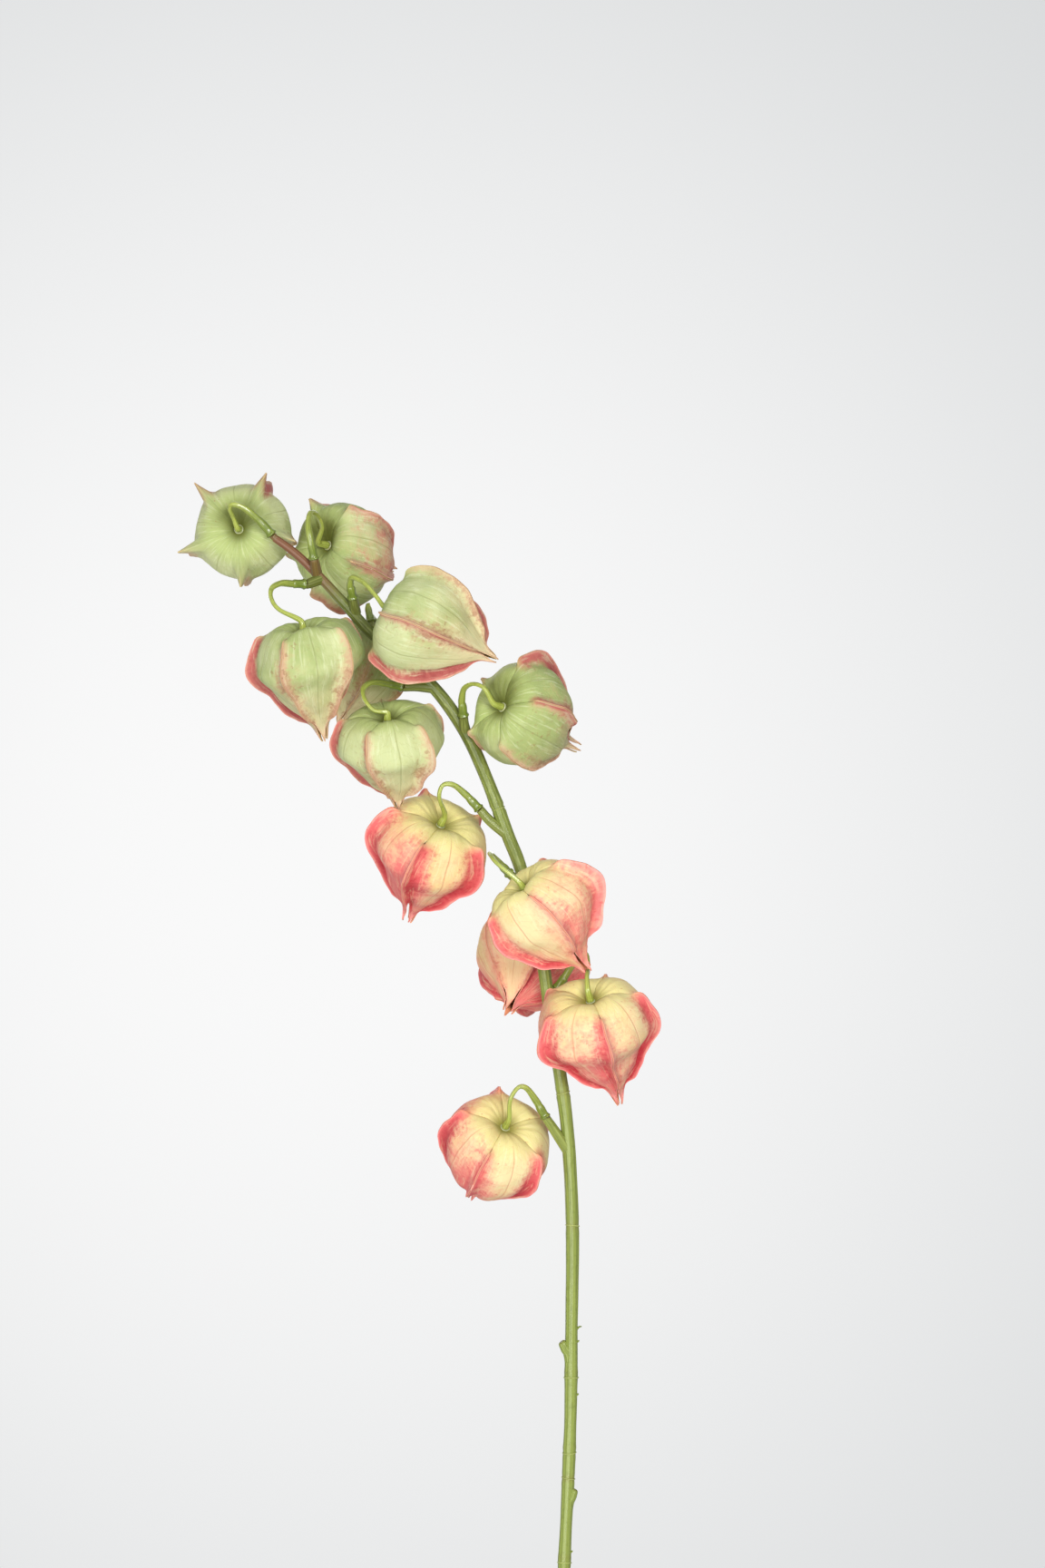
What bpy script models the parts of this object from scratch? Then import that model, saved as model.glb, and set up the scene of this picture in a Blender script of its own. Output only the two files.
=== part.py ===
"""A cut stem of twelve physalis lanterns standing in a plain bottle vase.

Lengths are in millimetres until a mesh is made. X runs to the right, Y away from the
viewer and Z up, with the origin at the middle of the vase's foot. The stem stands on
the vase's floor, leans on the neck and arches over to the left. Every lantern is a
thin shell of five panels joined at raised keels, and it hangs on a hooked stalk that
is plugged onto a short branch of the stem.
"""

import math
import random
from dataclasses import dataclass, field

import bmesh
import bpy
from mathutils import Matrix, Vector

MM = 0.001
FIT_GAP = 0.3

# The vase is turned, so it is a list of radius and height, up the outside, over the
# lip and down the inside.
VASE_SIDES = 24
VASE_FLOOR = 7.5
VASE_OUTSIDE = [
    (34.0, 0.0), (36.5, 2.0), (42.0, 16.0), (49.0, 40.0), (52.0, 68.0), (49.5, 96.0),
    (40.0, 121.0), (25.0, 145.0), (17.0, 162.0), (15.0, 185.0), (15.3, 212.0),
    (17.8, 229.5), (17.0, 231.7),
]
VASE_INSIDE = [
    (15.4, 231.2), (11.6, 215.0), (10.7, 195.0), (11.6, 167.0), (18.5, 148.5),
    (34.5, 124.0), (45.0, 97.0), (47.6, 68.0), (44.6, 42.0), (38.0, 19.0),
    (30.0, 9.2), (24.0, VASE_FLOOR),
]

# The stem's middle line, as X and Z in the plane Y = 0, with its radius there.
STEM_SIDES = 10
STEM_FOOT = VASE_FLOOR + FIT_GAP + 0.2
STEM_LINE = [
    (9.0, STEM_FOOT, 2.6), (6.6, 42.0, 2.6), (3.2, 78.0, 2.6), (-0.8, 112.0, 2.6),
    (-4.8, 146.0, 2.6), (-7.2, 172.0, 2.6), (-7.8, 195.0, 2.6), (-7.8, 212.0, 2.6),
    (-7.2, 244.0, 2.6), (-5.6, 279.0, 2.6), (-4.4, 311.0, 2.65), (-4.0, 347.0, 2.7),
    (-3.6, 395.0, 2.8), (-5.6, 435.0, 2.8), (-9.2, 463.0, 2.8), (-13.6, 491.0, 2.8),
    (-18.0, 519.0, 2.8), (-26.0, 551.0, 2.8), (-32.0, 567.0, 2.8), (-41.0, 591.0, 2.8),
    (-50.0, 611.0, 2.8), (-62.0, 629.0, 2.75), (-78.0, 645.0, 2.6), (-92.0, 656.0, 2.4),
    (-104.0, 669.0, 2.2), (-116.4, 682.4, 2.0), (-126.0, 691.5, 1.75),
    (-134.8, 698.0, 1.6),
]
# Heights of the raised joints along the stem, and how far each one stands out.
STEM_JOINTS = [
    (247.5, 0.35), (283.0, 0.25), (295.5, 0.4), (329.0, 0.45), (394.5, 0.45),
    (453.0, 0.4), (579.0, 0.4),
]
JOINT_LENGTH = 1.6
# Where a side shoot was cut off: height, side, radius and how far it stands out.
STEM_SCARS = [(343.2, -1.0, 2.0, 2.6), (277.8, 1.0, 1.8, 1.2)]

# Fit of a stalk on the stem and in a lantern.
BRANCH_RADIUS = 1.95
PIN_RADIUS = 0.95
PIN_LENGTH = 3.7
BORE_RADIUS = 1.45
BORE_DEPTH = 4.0
COLLAR_RADIUS = 2.5
COLLAR_LENGTH = 1.3
SLEEVE_RADIUS = 2.2
SLEEVE_LENGTH = 5.0
HOOK_RADIUS = 1.0
CONE_RADIUS = 1.9
CONE_LENGTH = 6.5
CONE_SEAT = 0.6
# The shares of a stalk's length where its sleeve has run out and where its cone starts.
SLEEVE_SHARE = 0.62
CONE_SHARE = 0.80
# A step this small makes a flat shoulder between two radii.
SHOULDER = 0.01
TENON_RADIUS = 1.1
GLUE_RADIUS = 2.2
HOLE_RADIUS = 1.5
STALK_SIDES = 6
BRANCH_SIDES = 7

# One lantern in units of its radius: distance from the axis and place along it, from
# the hole for the stalk to the tips. The hole itself has HOLE_RADIUS. Sag is how deep
# the seam lies at that ring.
PROFILE = [
    (0.06, 0.00), (0.46, -0.19), (0.79, -0.06), (0.97, 0.27), (1.00, 0.60),
    (0.88, 0.95), (0.65, 1.27), (0.38, 1.54), (0.16, 1.77),
]
SEAM_SAG = [0.0, 0.085, 0.06, 0.045, 0.04, 0.035, 0.03, 0.02, 0.0]
TIP = (0.07, 1.94)
CREST_RING = 1
HORN_RING = 2
TAPER_RING = 5
SPLIT_RING = 7
PANELS = 5
PANEL_ANGLE = 2 * math.pi / PANELS
# Columns across a panel, as a share of its half width. The keel stands past the edge.
EDGE = 0.80
COLUMNS = (-EDGE, -0.42, 0.0, 0.42, EDGE)
SAG_POWER = 2.5
# The seam's gap where two petals come apart, and the inside of a seam in sheets.
FREE_EDGE = 0.985
SEAM_DEPTH = 1.2
LEAST_RADIUS = 0.4
SHEET = 0.8
KEEL_THICKNESS = 0.9
KEEL_HEIGHT = [0.0, 0.0, 3.1, 3.0, 3.0, 2.9, 2.6, 2.0]
# Which way the horn at the top of a keel points: away from the axis, and along it.
HORN_WAY = (0.9, -0.44)
PETAL_WIDTH = [1.0, 1.0, 1.0, 1.0, 1.0, 0.95, 0.86, 0.80, 0.60]

COLOURS = {
    "stoneware": ((0.76, 0.74, 0.70), 0.75),
    "stem_green": ((0.28, 0.33, 0.10), 0.5),
    "stalk_green": ((0.36, 0.46, 0.08), 0.35),
    "green_lantern": ((0.60, 0.68, 0.32), 0.6),
    "coral_lantern": ((0.93, 0.66, 0.42), 0.6),
}


@dataclass(frozen=True)
class Lantern:
    """One calyx: where its hole is, which way its tips and its first keel point.

    Puff is how far the panels swell past the seams, and taper narrows the lower rings.
    """

    number: int
    hole: tuple
    axis: tuple
    keel: tuple
    radius: float
    colour: str
    length: float = 1.0
    horn: float = 1.0
    splits: dict = field(default_factory=dict)
    warp: float = 0.035
    puff: float = 1.0
    taper: float = 1.0


@dataclass(frozen=True)
class Stalk:
    """One hooked stalk: its branch on the stem, and its points from collar to hook."""

    number: int
    branch: tuple
    points: tuple


LANTERNS = [
    Lantern(1, (-151.4, 11, 702.5), (0.08, 0.99, -0.07), (0.51, 0.0, 0.86), 22.0,
            "green_lantern", horn=6.8, warp=0.03, puff=-0.5),
    Lantern(2, (-112.4, 25, 696.0), (0.66, 0.72, -0.22), (-0.03, -0.99, -0.13), 22.8,
            "green_lantern", horn=4.0, warp=0.05, puff=0.5),
    Lantern(3, (-93.0, 28, 655.0), (-0.38, 0.09, -0.92), (0.16, -0.98, -0.07), 21.0,
            "green_lantern"),
    Lantern(4, (-80.0, -25, 664.0), (0.89, -0.21, -0.42), (-0.06, -0.99, -0.12), 24.0,
            "green_lantern", puff=0.4),
    Lantern(5, (-121.0, -22, 654.5), (0.18, 0.22, -0.96), (-0.42, -0.91, -0.08), 23.9,
            "green_lantern", taper=0.84),
    Lantern(6, (-84.5, -14, 617.0), (0.10, 0.37, -0.92), (-0.44, -0.90, -0.05), 23.4,
            "green_lantern", length=0.89, taper=0.86),
    Lantern(7, (-34.3, -19, 623.0), (0.66, 0.68, -0.32), (0.13, -0.96, 0.25), 23.4,
            "green_lantern", horn=2.0, splits={0: 5}, warp=0.05),
    Lantern(8, (-62.0, 8, 571.0), (-0.32, 0.52, -0.79), (-0.12, -0.98, -0.02), 25.4,
            "coral_lantern", horn=2.0, splits={0: 6}, warp=0.04, taper=0.84),
    Lantern(9, (4.0, -30, 495.0), (0.22, 0.41, -0.89), (0.16, -0.99, 0.04), 25.0,
            "coral_lantern", warp=0.045, taper=0.8),
    Lantern(10, (-24.0, -38, 543.5), (0.63, 0.22, -0.74), (-0.04, -1.0, -0.03), 23.6,
            "coral_lantern", splits={0: 6, 4: 6}, warp=0.07, taper=0.92),
    Lantern(11, (-17.5, 39.2, 520.0), (-0.32, -0.71, -0.63), (0.93, -0.10, -0.36), 24.9,
            "coral_lantern", warp=0.05),
    Lantern(12, (-33.4, 0, 438.0), (-0.30, 0.66, -0.69), (-0.09, -1.0, 0.04), 23.7,
            "coral_lantern", horn=1.5, warp=0.03),
]

STALKS = [
    Stalk(1, ((-134.0, 0, 697.4), (-135.8, -0.3, 699.2)),
          ((-138.7, -1, 702.6), (-143.0, -2.5, 707.0), (-148.0, -4, 711.0),
           (-152.8, -4.5, 712.6), (-154.6, -2, 710.8), (-153.3, 3, 707.0))),
    Stalk(2, ((-116.4, 0, 682.4), (-117.2, -5.4, 688.2)),
          ((-118.6, -8, 696.0), (-119.7, -7.4, 703.0), (-119.0, -2, 709.0),
           (-116.4, 6, 708.6), (-114.6, 14, 703.6))),
    Stalk(3, ((-91.5, 0, 657.0), (-92.2, 4.6, 660.4)),
          ((-93.2, 7.5, 664.0), (-94.0, 11, 667.8), (-94.0, 16, 668.8),
           (-93.4, 21.5, 665.8))),
    Stalk(4, ((-99.2, 0, 664.8), (-100.2, -5, 671.0)),
          ((-101.2, -9, 677.0), (-99.9, -13.5, 680.0), (-94.5, -19, 677.2),
           (-89.4, -22.5, 671.4))),
    Stalk(5, ((-114.6, 0, 680.0), (-121.0, -3, 677.6)),
          ((-127.0, -6, 677.6), (-131.5, -9, 677.6), (-135.4, -13, 675.2),
           (-135.4, -17, 670.6), (-131.6, -20.6, 665.6))),
    Stalk(6, ((-65.0, 0, 632.0), (-72.0, -0.8, 632.6), (-78.3, -2, 632.4)),
          ((-84.6, -4, 633.5), (-91.2, -7, 634.2), (-95.4, -11, 631.4),
           (-94.6, -14.5, 626.4), (-90.4, -16, 621.8))),
    Stalk(7, ((-50.6, 0, 612.0), (-51.4, -3, 616.0), (-51.5, -5, 619.2)),
          ((-52.2, -9, 626.4), (-51.0, -15, 631.4), (-47.2, -21.4, 633.2),
           (-42.2, -25.0, 631.2))),
    Stalk(8, ((-32.0, 0, 567.0), (-40.0, -1, 573.4), (-44.4, -1.6, 578.4)),
          ((-50.4, -2.6, 584.8), (-55.9, -4.2, 589.2), (-60.6, -5.2, 589.0),
           (-62.2, -4.6, 583.6))),
    Stalk(9, ((-14.0, 0, 494.0), (-10.4, -1.4, 499.4)),
          ((-7.0, -3, 504.6), (-3.4, -5, 510.4), (0.4, -9, 515.0),
           (2.6, -15, 514.6), (3.0, -22, 510.0), (2.4, -29, 506.4))),
    Stalk(10, ((-22.6, 0, 541.6), (-27.4, -4, 546.7), (-31.2, -7, 550.1)),
          ((-35.6, -12, 554.8), (-39.1, -20, 558.6), (-39.6, -30.6, 559.0),
           (-36.6, -38.6, 555.4))),
    Stalk(11, ((-21.0, 0, 530.0), (-20.8, 6, 533.4)),
          ((-20.4, 12, 536.4), (-19.5, 22, 541.2), (-18.3, 34, 544.0),
           (-16.8, 45, 542.2), (-15.2, 50.5, 535.4))),
    Stalk(12, ((-5.0, 0, 427.0), (-11.2, -2, 436.6), (-15.2, -3.4, 442.7)),
          ((-19.6, -5, 450.4), (-23.8, -6.6, 456.0), (-27.6, -7.6, 456.2),
           (-31.0, -7.6, 450.6))),
]


def clear_scene():
    """Empty the scene of whatever it held."""
    for item in list(bpy.data.objects):
        bpy.data.objects.remove(item, do_unlink=True)


def material(name):
    """A new material with the named finish, so that each piece has one of its own."""
    colour, roughness = COLOURS[name]
    made = bpy.data.materials.new(name)
    made.use_nodes = True
    shader = made.node_tree.nodes["Principled BSDF"]
    shader.inputs["Base Color"].default_value = (*colour, 1.0)
    shader.inputs["Roughness"].default_value = roughness
    shader.inputs["Metallic"].default_value = 0.0
    made.diffuse_color = (*colour, 1.0)
    return made


def object_from(name, bm, finish, matrix=None):
    """Turn a bmesh in millimetres into a smooth object in metres."""
    bmesh.ops.recalc_face_normals(bm, faces=bm.faces)
    bmesh.ops.scale(bm, vec=(MM, MM, MM), verts=bm.verts)
    mesh = bpy.data.meshes.new(name)
    bm.to_mesh(mesh)
    bm.free()
    mesh.shade_smooth()
    mesh.set_sharp_from_angle(angle=math.radians(50))
    mesh.materials.append(material(finish))
    made = bpy.data.objects.new(name, mesh)
    if matrix is not None:
        made.matrix_world = matrix
    bpy.context.scene.collection.objects.link(made)
    return made


def catmull(points, steps):
    """Points along a smooth line through the given ones, with steps in each span."""
    rows = [Vector(p) for p in points]
    rows = [rows[0] * 2 - rows[1]] + rows + [rows[-1] * 2 - rows[-2]]
    line = []
    for a, b, c, d in zip(rows, rows[1:], rows[2:], rows[3:]):
        for step in range(steps):
            t = step / steps
            line.append(0.5 * (2 * b + (c - a) * t + (2 * a - 5 * b + 4 * c - d) * t**2
                               + (3 * b - a - 3 * c + d) * t**3))
    line.append(rows[-2])
    return line


def frames(line):
    """A direction and two cross directions at each point, turning as little as it can."""
    tangents = []
    for index, _ in enumerate(line):
        before = line[max(index - 1, 0)]
        after = line[min(index + 1, len(line) - 1)]
        tangents.append((after - before).normalized())
    side = tangents[0].orthogonal().normalized()
    rows = []
    for tangent in tangents:
        side = (side - tangent * side.dot(tangent)).normalized()
        rows.append((tangent, side, tangent.cross(side)))
    return rows


def ring(bm, centre, side, other, radius, sides):
    """One circle of vertices."""
    made = []
    for index in range(sides):
        turn = 2 * math.pi * index / sides
        made.append(bm.verts.new(centre + (side * math.cos(turn)
                                           + other * math.sin(turn)) * radius))
    return made


def join(bm, first, second):
    """Faces between two circles of as many vertices."""
    for index, corner in enumerate(first):
        after = (index + 1) % len(first)
        bm.faces.new((corner, first[after], second[after], second[index]))


def sweep(bm, stations, sides, bore=None):
    """A closed round body through stations of point, frame and radius.

    A bore is a blind hole in the first end, as a radius and a depth.
    """
    circles = [ring(bm, centre, side, other, radius, sides)
               for centre, (_, side, other), radius in stations]
    for first, second in zip(circles, circles[1:]):
        join(bm, first, second)
    bm.faces.new(circles[-1])
    if bore is None:
        bm.faces.new(circles[0])
        return
    radius, depth = bore
    centre, (tangent, side, other), _ = stations[0]
    mouth = ring(bm, centre, side, other, radius, sides)
    floor = ring(bm, centre + tangent * depth, side, other, radius, sides)
    join(bm, circles[0], mouth)
    join(bm, mouth, floor)
    bm.faces.new(floor)


def make_vase():
    """The turned bottle vase, closed at its foot and open at its neck."""
    bm = bmesh.new()
    profile = [(0.0, 0.0), *VASE_OUTSIDE, *VASE_INSIDE, (0.0, VASE_FLOOR)]
    points = [bm.verts.new((radius, 0.0, height)) for radius, height in profile]
    edges = [bm.edges.new(pair) for pair in zip(points, points[1:])]
    bmesh.ops.spin(bm, geom=points + edges, cent=(0, 0, 0), axis=(0, 0, 1),
                   angle=2 * math.pi, steps=VASE_SIDES, use_merge=True)
    bmesh.ops.remove_doubles(bm, verts=bm.verts, dist=0.001)
    return object_from("vase", bm, "stoneware")


def stem_radius(height, radius):
    """The stem's radius with its raised joints."""
    swell = 0.0
    for middle, proud in STEM_JOINTS:
        off = abs(height - middle)
        if off < JOINT_LENGTH:
            swell = max(swell, proud * (1 - (off / JOINT_LENGTH) ** 2))
    return radius + swell


def stem_stations():
    """Stations up the stem: its own points, and a few more at each joint."""
    line = catmull([(x, 0.0, z) for x, z, _ in STEM_LINE], 8)
    radii = catmull([(radius, 0.0, 0.0) for _, _, radius in STEM_LINE], 8)
    wanted = {index for index in range(0, len(line), 8)}
    for middle, _ in STEM_JOINTS:
        wanted.add(min(range(len(line)), key=lambda i: abs(line[i].z - middle)))
    rows = [(line[index], radii[index].x) for index in sorted(wanted)]
    for middle, _ in STEM_JOINTS:
        for off in (-JOINT_LENGTH, 0.0, JOINT_LENGTH):
            at = next(i for i in range(1, len(rows)) if rows[i][0].z > middle + off)
            low, high = rows[at - 1], rows[at]
            share = (middle + off - low[0].z) / (high[0].z - low[0].z)
            if 0.02 < share < 0.98:
                rows.insert(at, (low[0].lerp(high[0], share),
                                 low[1] + (high[1] - low[1]) * share))
    centres = [centre for centre, _ in rows]
    return [(centre, frame, stem_radius(centre.z, radius))
            for (centre, radius), frame in zip(rows, frames(centres))]


def stalk_start(stalk):
    """The end of the branch that carries a stalk, and the way the stalk leaves it."""
    end = Vector(stalk.branch[-1])
    return end, (Vector(stalk.points[0]) - end).normalized()


def make_branch(stalk):
    """A short branch of the stem, with the pin that its stalk is pushed onto."""
    bm = bmesh.new()
    end, away = stalk_start(stalk)
    points = [Vector(point) for point in stalk.branch[:-1]]
    line = [*points, end - away * 0.8, end, end + away * SHOULDER,
            end + away * PIN_LENGTH]
    radii = [BRANCH_RADIUS] * (len(points) + 2) + [PIN_RADIUS, PIN_RADIUS * 0.8]
    if stalk.number == 1:
        radii[:3] = [STEM_LINE[-1][2]] * 3
    sweep(bm, list(zip(line, frames(line), radii)), BRANCH_SIDES)
    return object_from(f"branch_{stalk.number:02d}", bm, "stem_green")


def make_scar(index, scar, stations):
    """The low stump that a cut side shoot leaves."""
    height, side, radius, proud = scar
    centre, _, thickness = min(stations, key=lambda row: abs(row[0].z - height))
    middle = Vector((centre.x, 0.0, height))
    out = Vector((side, -0.25, 0.35)).normalized()
    line = [middle, middle + out * (thickness + proud)]
    bm = bmesh.new()
    sweep(bm, list(zip(line, frames(line), (radius, radius * 0.8))), BRANCH_SIDES)
    return object_from(f"scar_{index}", bm, "stem_green")


def make_stem():
    """The stem with its branches, joints and scars in one piece."""
    stations = stem_stations()
    bm = bmesh.new()
    sweep(bm, stations, STEM_SIDES)
    stem = object_from("stem", bm, "stem_green")
    shoots = bpy.data.collections.new("shoots")
    bpy.context.scene.collection.children.link(shoots)
    pieces = [make_branch(stalk) for stalk in STALKS]
    pieces += [make_scar(index, scar, stations) for index, scar in enumerate(STEM_SCARS)]
    for piece in pieces:
        bpy.context.scene.collection.objects.unlink(piece)
        shoots.objects.link(piece)
    union = stem.modifiers.new("shoots", "BOOLEAN")
    union.operation = "UNION"
    union.operand_type = "COLLECTION"
    union.collection = shoots
    union.solver = "EXACT"
    bpy.context.view_layer.update()
    graph = bpy.context.evaluated_depsgraph_get()
    joined = bpy.data.meshes.new_from_object(stem.evaluated_get(graph))
    stem.modifiers.remove(union)
    stem.data = joined
    joined.name = "stem"
    for piece in pieces:
        bpy.data.objects.remove(piece, do_unlink=True)
    bpy.data.collections.remove(shoots)
    return stem


def make_stalk(stalk, lantern):
    """One hooked stalk, from its collar over the branch to the glue inside the lantern."""
    start, away = stalk_start(stalk)
    hole = Vector(lantern.hole)
    inward = Vector(lantern.axis).normalized()
    foot = start + away * FIT_GAP
    hook = [Vector(point) for point in stalk.points]
    route = [foot, foot + away * COLLAR_LENGTH, foot + away * SLEEVE_LENGTH, *hook,
             hole - inward * CONE_LENGTH, hole - inward * (CONE_SEAT + 1.2)]
    # The first point of the hook is left out where the straight sleeve already reaches it.
    if (route[3] - route[2]).dot(away) < 1.0:
        del route[3]
    steps = 2
    line = catmull(route, steps)
    total = len(line) - 1
    radii = []
    for index, _ in enumerate(line):
        share = index / total
        if index <= steps:
            radii.append(COLLAR_RADIUS if index < steps else SLEEVE_RADIUS)
        elif share < SLEEVE_SHARE:
            shrink = (share / SLEEVE_SHARE) ** 1.5
            radii.append(SLEEVE_RADIUS + (HOOK_RADIUS - SLEEVE_RADIUS) * shrink)
        else:
            swell = max(0.0, (share - CONE_SHARE) / (1 - CONE_SHARE))
            radii.append(HOOK_RADIUS + (CONE_RADIUS - HOOK_RADIUS) * swell * 0.75)
    tail = [(-CONE_SEAT, CONE_RADIUS), (-CONE_SEAT + SHOULDER, TENON_RADIUS),
            (1.25, TENON_RADIUS), (1.5, GLUE_RADIUS), (2.6, GLUE_RADIUS * 0.9),
            (3.2, GLUE_RADIUS * 0.5)]
    centres = line + [hole + inward * place for place, _ in tail]
    radii += [radius for _, radius in tail]
    bm = bmesh.new()
    sweep(bm, list(zip(centres, frames(centres), radii)), STALK_SIDES,
          bore=(BORE_RADIUS, BORE_DEPTH))
    return object_from(f"stalk_{stalk.number:02d}", bm, "stalk_green")


class Shell:
    """Builds the closed shell of one lantern in its own frame, tips along +Z."""

    def __init__(self, lantern):
        self.lantern = lantern
        self.bm = bmesh.new()
        self.made = {}
        self.last = len(PROFILE) - 1
        draw = random.Random(lantern.number)
        self.phases = [draw.uniform(0, 2 * math.pi) for _ in range(6)]
        self.tips = [(draw.uniform(0.9, 1.25), draw.uniform(-0.05, 0.04))
                     for _ in range(PANELS)]

    def split(self, seam):
        """The ring at which this seam comes apart."""
        return self.lantern.splits.get(seam % PANELS, SPLIT_RING)

    def station(self, ring_index):
        """Place on the profile and its outward direction, in millimetres."""
        size, stretch = self.lantern.radius, self.lantern.length
        radius, place = PROFILE[ring_index]
        if TAPER_RING <= ring_index < self.last:
            radius *= self.lantern.taper
        low = PROFILE[max(ring_index - 1, 0)]
        high = PROFILE[ring_index + 1] if ring_index < self.last else TIP
        run = Vector((high[0] - low[0], (high[1] - low[1]) * stretch))
        out = Vector((run.y, -run.x)).normalized()
        wide = HOLE_RADIUS if ring_index == 0 else radius * size
        return wide, place * size * stretch, out

    def place(self, turn, radius, height):
        """A point of the shell with the lantern's own unevenness."""
        size = self.lantern.radius
        point = Vector((radius * math.cos(turn), radius * math.sin(turn), height))
        away = max(0.0, point.length / size - 0.15)
        reach = self.lantern.warp * size * min(1.0, away * 1.6)
        a, b, c, d, e, f = self.phases
        x, y, z = point / size
        return point + reach * Vector((
            math.sin(1.9 * y + a) + 0.6 * math.sin(2.6 * z + b),
            math.sin(1.8 * z + c) + 0.6 * math.sin(2.7 * x + d),
            0.7 * math.sin(2.2 * x + e) + 0.5 * math.sin(2.4 * y + f),
        ))

    def vertex(self, key, turn, radius, height):
        """The vertex of this key, made the first time."""
        if key not in self.made:
            self.made[key] = self.bm.verts.new(self.place(turn, radius, height))
        return self.made[key]

    def surface(self, panel, ring_index, share, depth=0.0):
        """Turn, radius and height of a point, a share of the half width across."""
        radius, height, out = self.station(ring_index)
        full = SEAM_SAG[ring_index] * self.lantern.radius * self.lantern.puff
        sag = full * abs(share / EDGE) ** SAG_POWER
        radius -= out.x * (sag + depth)
        height -= out.y * (sag + depth)
        turn = PANEL_ANGLE * (panel + 0.5 + 0.5 * share)
        return turn, max(radius, LEAST_RADIUS), height

    def edge_share(self, panel, ring_index, column):
        """The share of the half width at a column, narrowed where a seam is open."""
        seam = panel if column < 0 else panel + 1
        if ring_index > self.split(seam):
            wide = PETAL_WIDTH[ring_index]
            return column / EDGE * wide * FREE_EDGE
        if ring_index > SPLIT_RING:
            return column / EDGE * PETAL_WIDTH[ring_index]
        return column

    def outer(self, panel, ring_index, index):
        """A vertex of the outside of a panel, at one of its columns."""
        share = self.edge_share(panel, ring_index, COLUMNS[index])
        where = self.surface(panel, ring_index, share)
        return self.vertex(("outer", panel % PANELS, ring_index, index), *where)

    def inner(self, panel, ring_index, side):
        """A vertex of the inside: side -1 and 1 are its edges, 0 its middle."""
        seam = panel if side < 0 else panel + 1
        if side and ring_index <= self.split(seam):
            where = self.surface(panel, ring_index, side * EDGE, SHEET * SEAM_DEPTH)
            turn = PANEL_ANGLE * seam
            return self.vertex(("seam", seam % PANELS, ring_index), turn, *where[1:])
        share = self.edge_share(panel, ring_index, side * EDGE) if side else 0.0
        where = self.surface(panel, ring_index, share, SHEET)
        return self.vertex(("inner", panel % PANELS, ring_index, side), *where)

    def keel(self, seam, ring_index, side):
        """A vertex of a keel's outer edge; side 0 is its middle where it splits."""
        panel = seam if side > 0 else seam - 1
        if ring_index <= CREST_RING:
            return self.outer(panel, ring_index, 0 if side > 0 else len(COLUMNS) - 1)
        _, radius, height = self.surface(panel, ring_index, EDGE)
        _, _, out = self.station(ring_index)
        proud = KEEL_HEIGHT[ring_index] * self.lantern.radius / 24.0
        radius += out.x * proud
        height += out.y * proud
        if ring_index == HORN_RING:
            radius += HORN_WAY[0] * self.lantern.horn
            height += HORN_WAY[1] * self.lantern.horn
        turn = PANEL_ANGLE * seam + side * 0.5 * KEEL_THICKNESS / radius
        return self.vertex(("keel", seam % PANELS, ring_index, side), turn, radius, height)

    def tip(self, panel):
        """The point of a petal."""
        panel = panel % PANELS
        spread, shift = self.tips[panel]
        size = self.lantern.radius
        turn = PANEL_ANGLE * (panel + 0.5)
        radius = TIP[0] * size * spread
        height = (TIP[1] + shift) * size * self.lantern.length
        return self.vertex(("tip", panel), turn, radius, height)

    def face(self, *corners):
        """A face through the corners that differ, if there are three."""
        kept = [v for i, v in enumerate(corners) if v is not corners[i - 1]]
        if len(set(kept)) > 2:
            self.bm.faces.new(kept)

    def panel_faces(self, panel, low):
        """The outside and the inside of one panel between two rings."""
        high = low + 1
        for index in range(len(COLUMNS) - 1):
            self.face(self.outer(panel, low, index), self.outer(panel, low, index + 1),
                      self.outer(panel, high, index + 1), self.outer(panel, high, index))
        for side in (-1, 0):
            self.face(self.inner(panel, low, side + 1), self.inner(panel, low, side),
                      self.inner(panel, high, side), self.inner(panel, high, side + 1))

    def keel_faces(self, seam, low):
        """The keel, or the open edges below it, between two rings at one seam."""
        high, split = low + 1, self.split(seam)
        last = len(COLUMNS) - 1
        left_low, right_low = self.outer(seam - 1, low, last), self.outer(seam, low, 0)
        left_high = self.outer(seam - 1, high, last)
        right_high = self.outer(seam, high, 0)
        if high <= split:
            keel = [self.keel(seam, k, side) for k in (low, high) for side in (-1, 1)]
            self.face(left_low, keel[0], keel[2], left_high)
            self.face(keel[1], right_low, right_high, keel[3])
            if high == split:
                self.face(keel[0], keel[1], keel[3], self.keel(seam, high, 0), keel[2])
            else:
                self.face(keel[0], keel[1], keel[3], keel[2])
            return
        inner_left = self.inner(seam - 1, high, 1)
        inner_right = self.inner(seam, high, -1)
        if low == split:
            middle = self.keel(seam, low, 0)
            root = self.inner(seam, low, -1)
            self.face(left_low, self.keel(seam, low, -1), left_high)
            self.face(self.keel(seam, low, -1), middle, left_high)
            self.face(right_low, right_high, self.keel(seam, low, 1))
            self.face(self.keel(seam, low, 1), right_high, middle)
            self.face(middle, root, inner_left, left_high)
            self.face(middle, right_high, inner_right, root)
            return
        self.face(left_low, self.inner(seam - 1, low, 1), inner_left, left_high)
        self.face(right_low, right_high, inner_right, self.inner(seam, low, -1))

    def hole_faces(self):
        """The wall of the hole that the stalk goes through."""
        half = len(COLUMNS) // 2
        for panel in range(PANELS):
            row = [self.outer(panel, 0, index) for index in range(len(COLUMNS))]
            left, middle, right = (self.inner(panel, 0, side) for side in (-1, 0, 1))
            self.face(*row[: half + 1], middle, left)
            self.face(*row[half:], right, middle)
            self.face(row[-1], self.outer(panel + 1, 0, 0), right)

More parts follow.
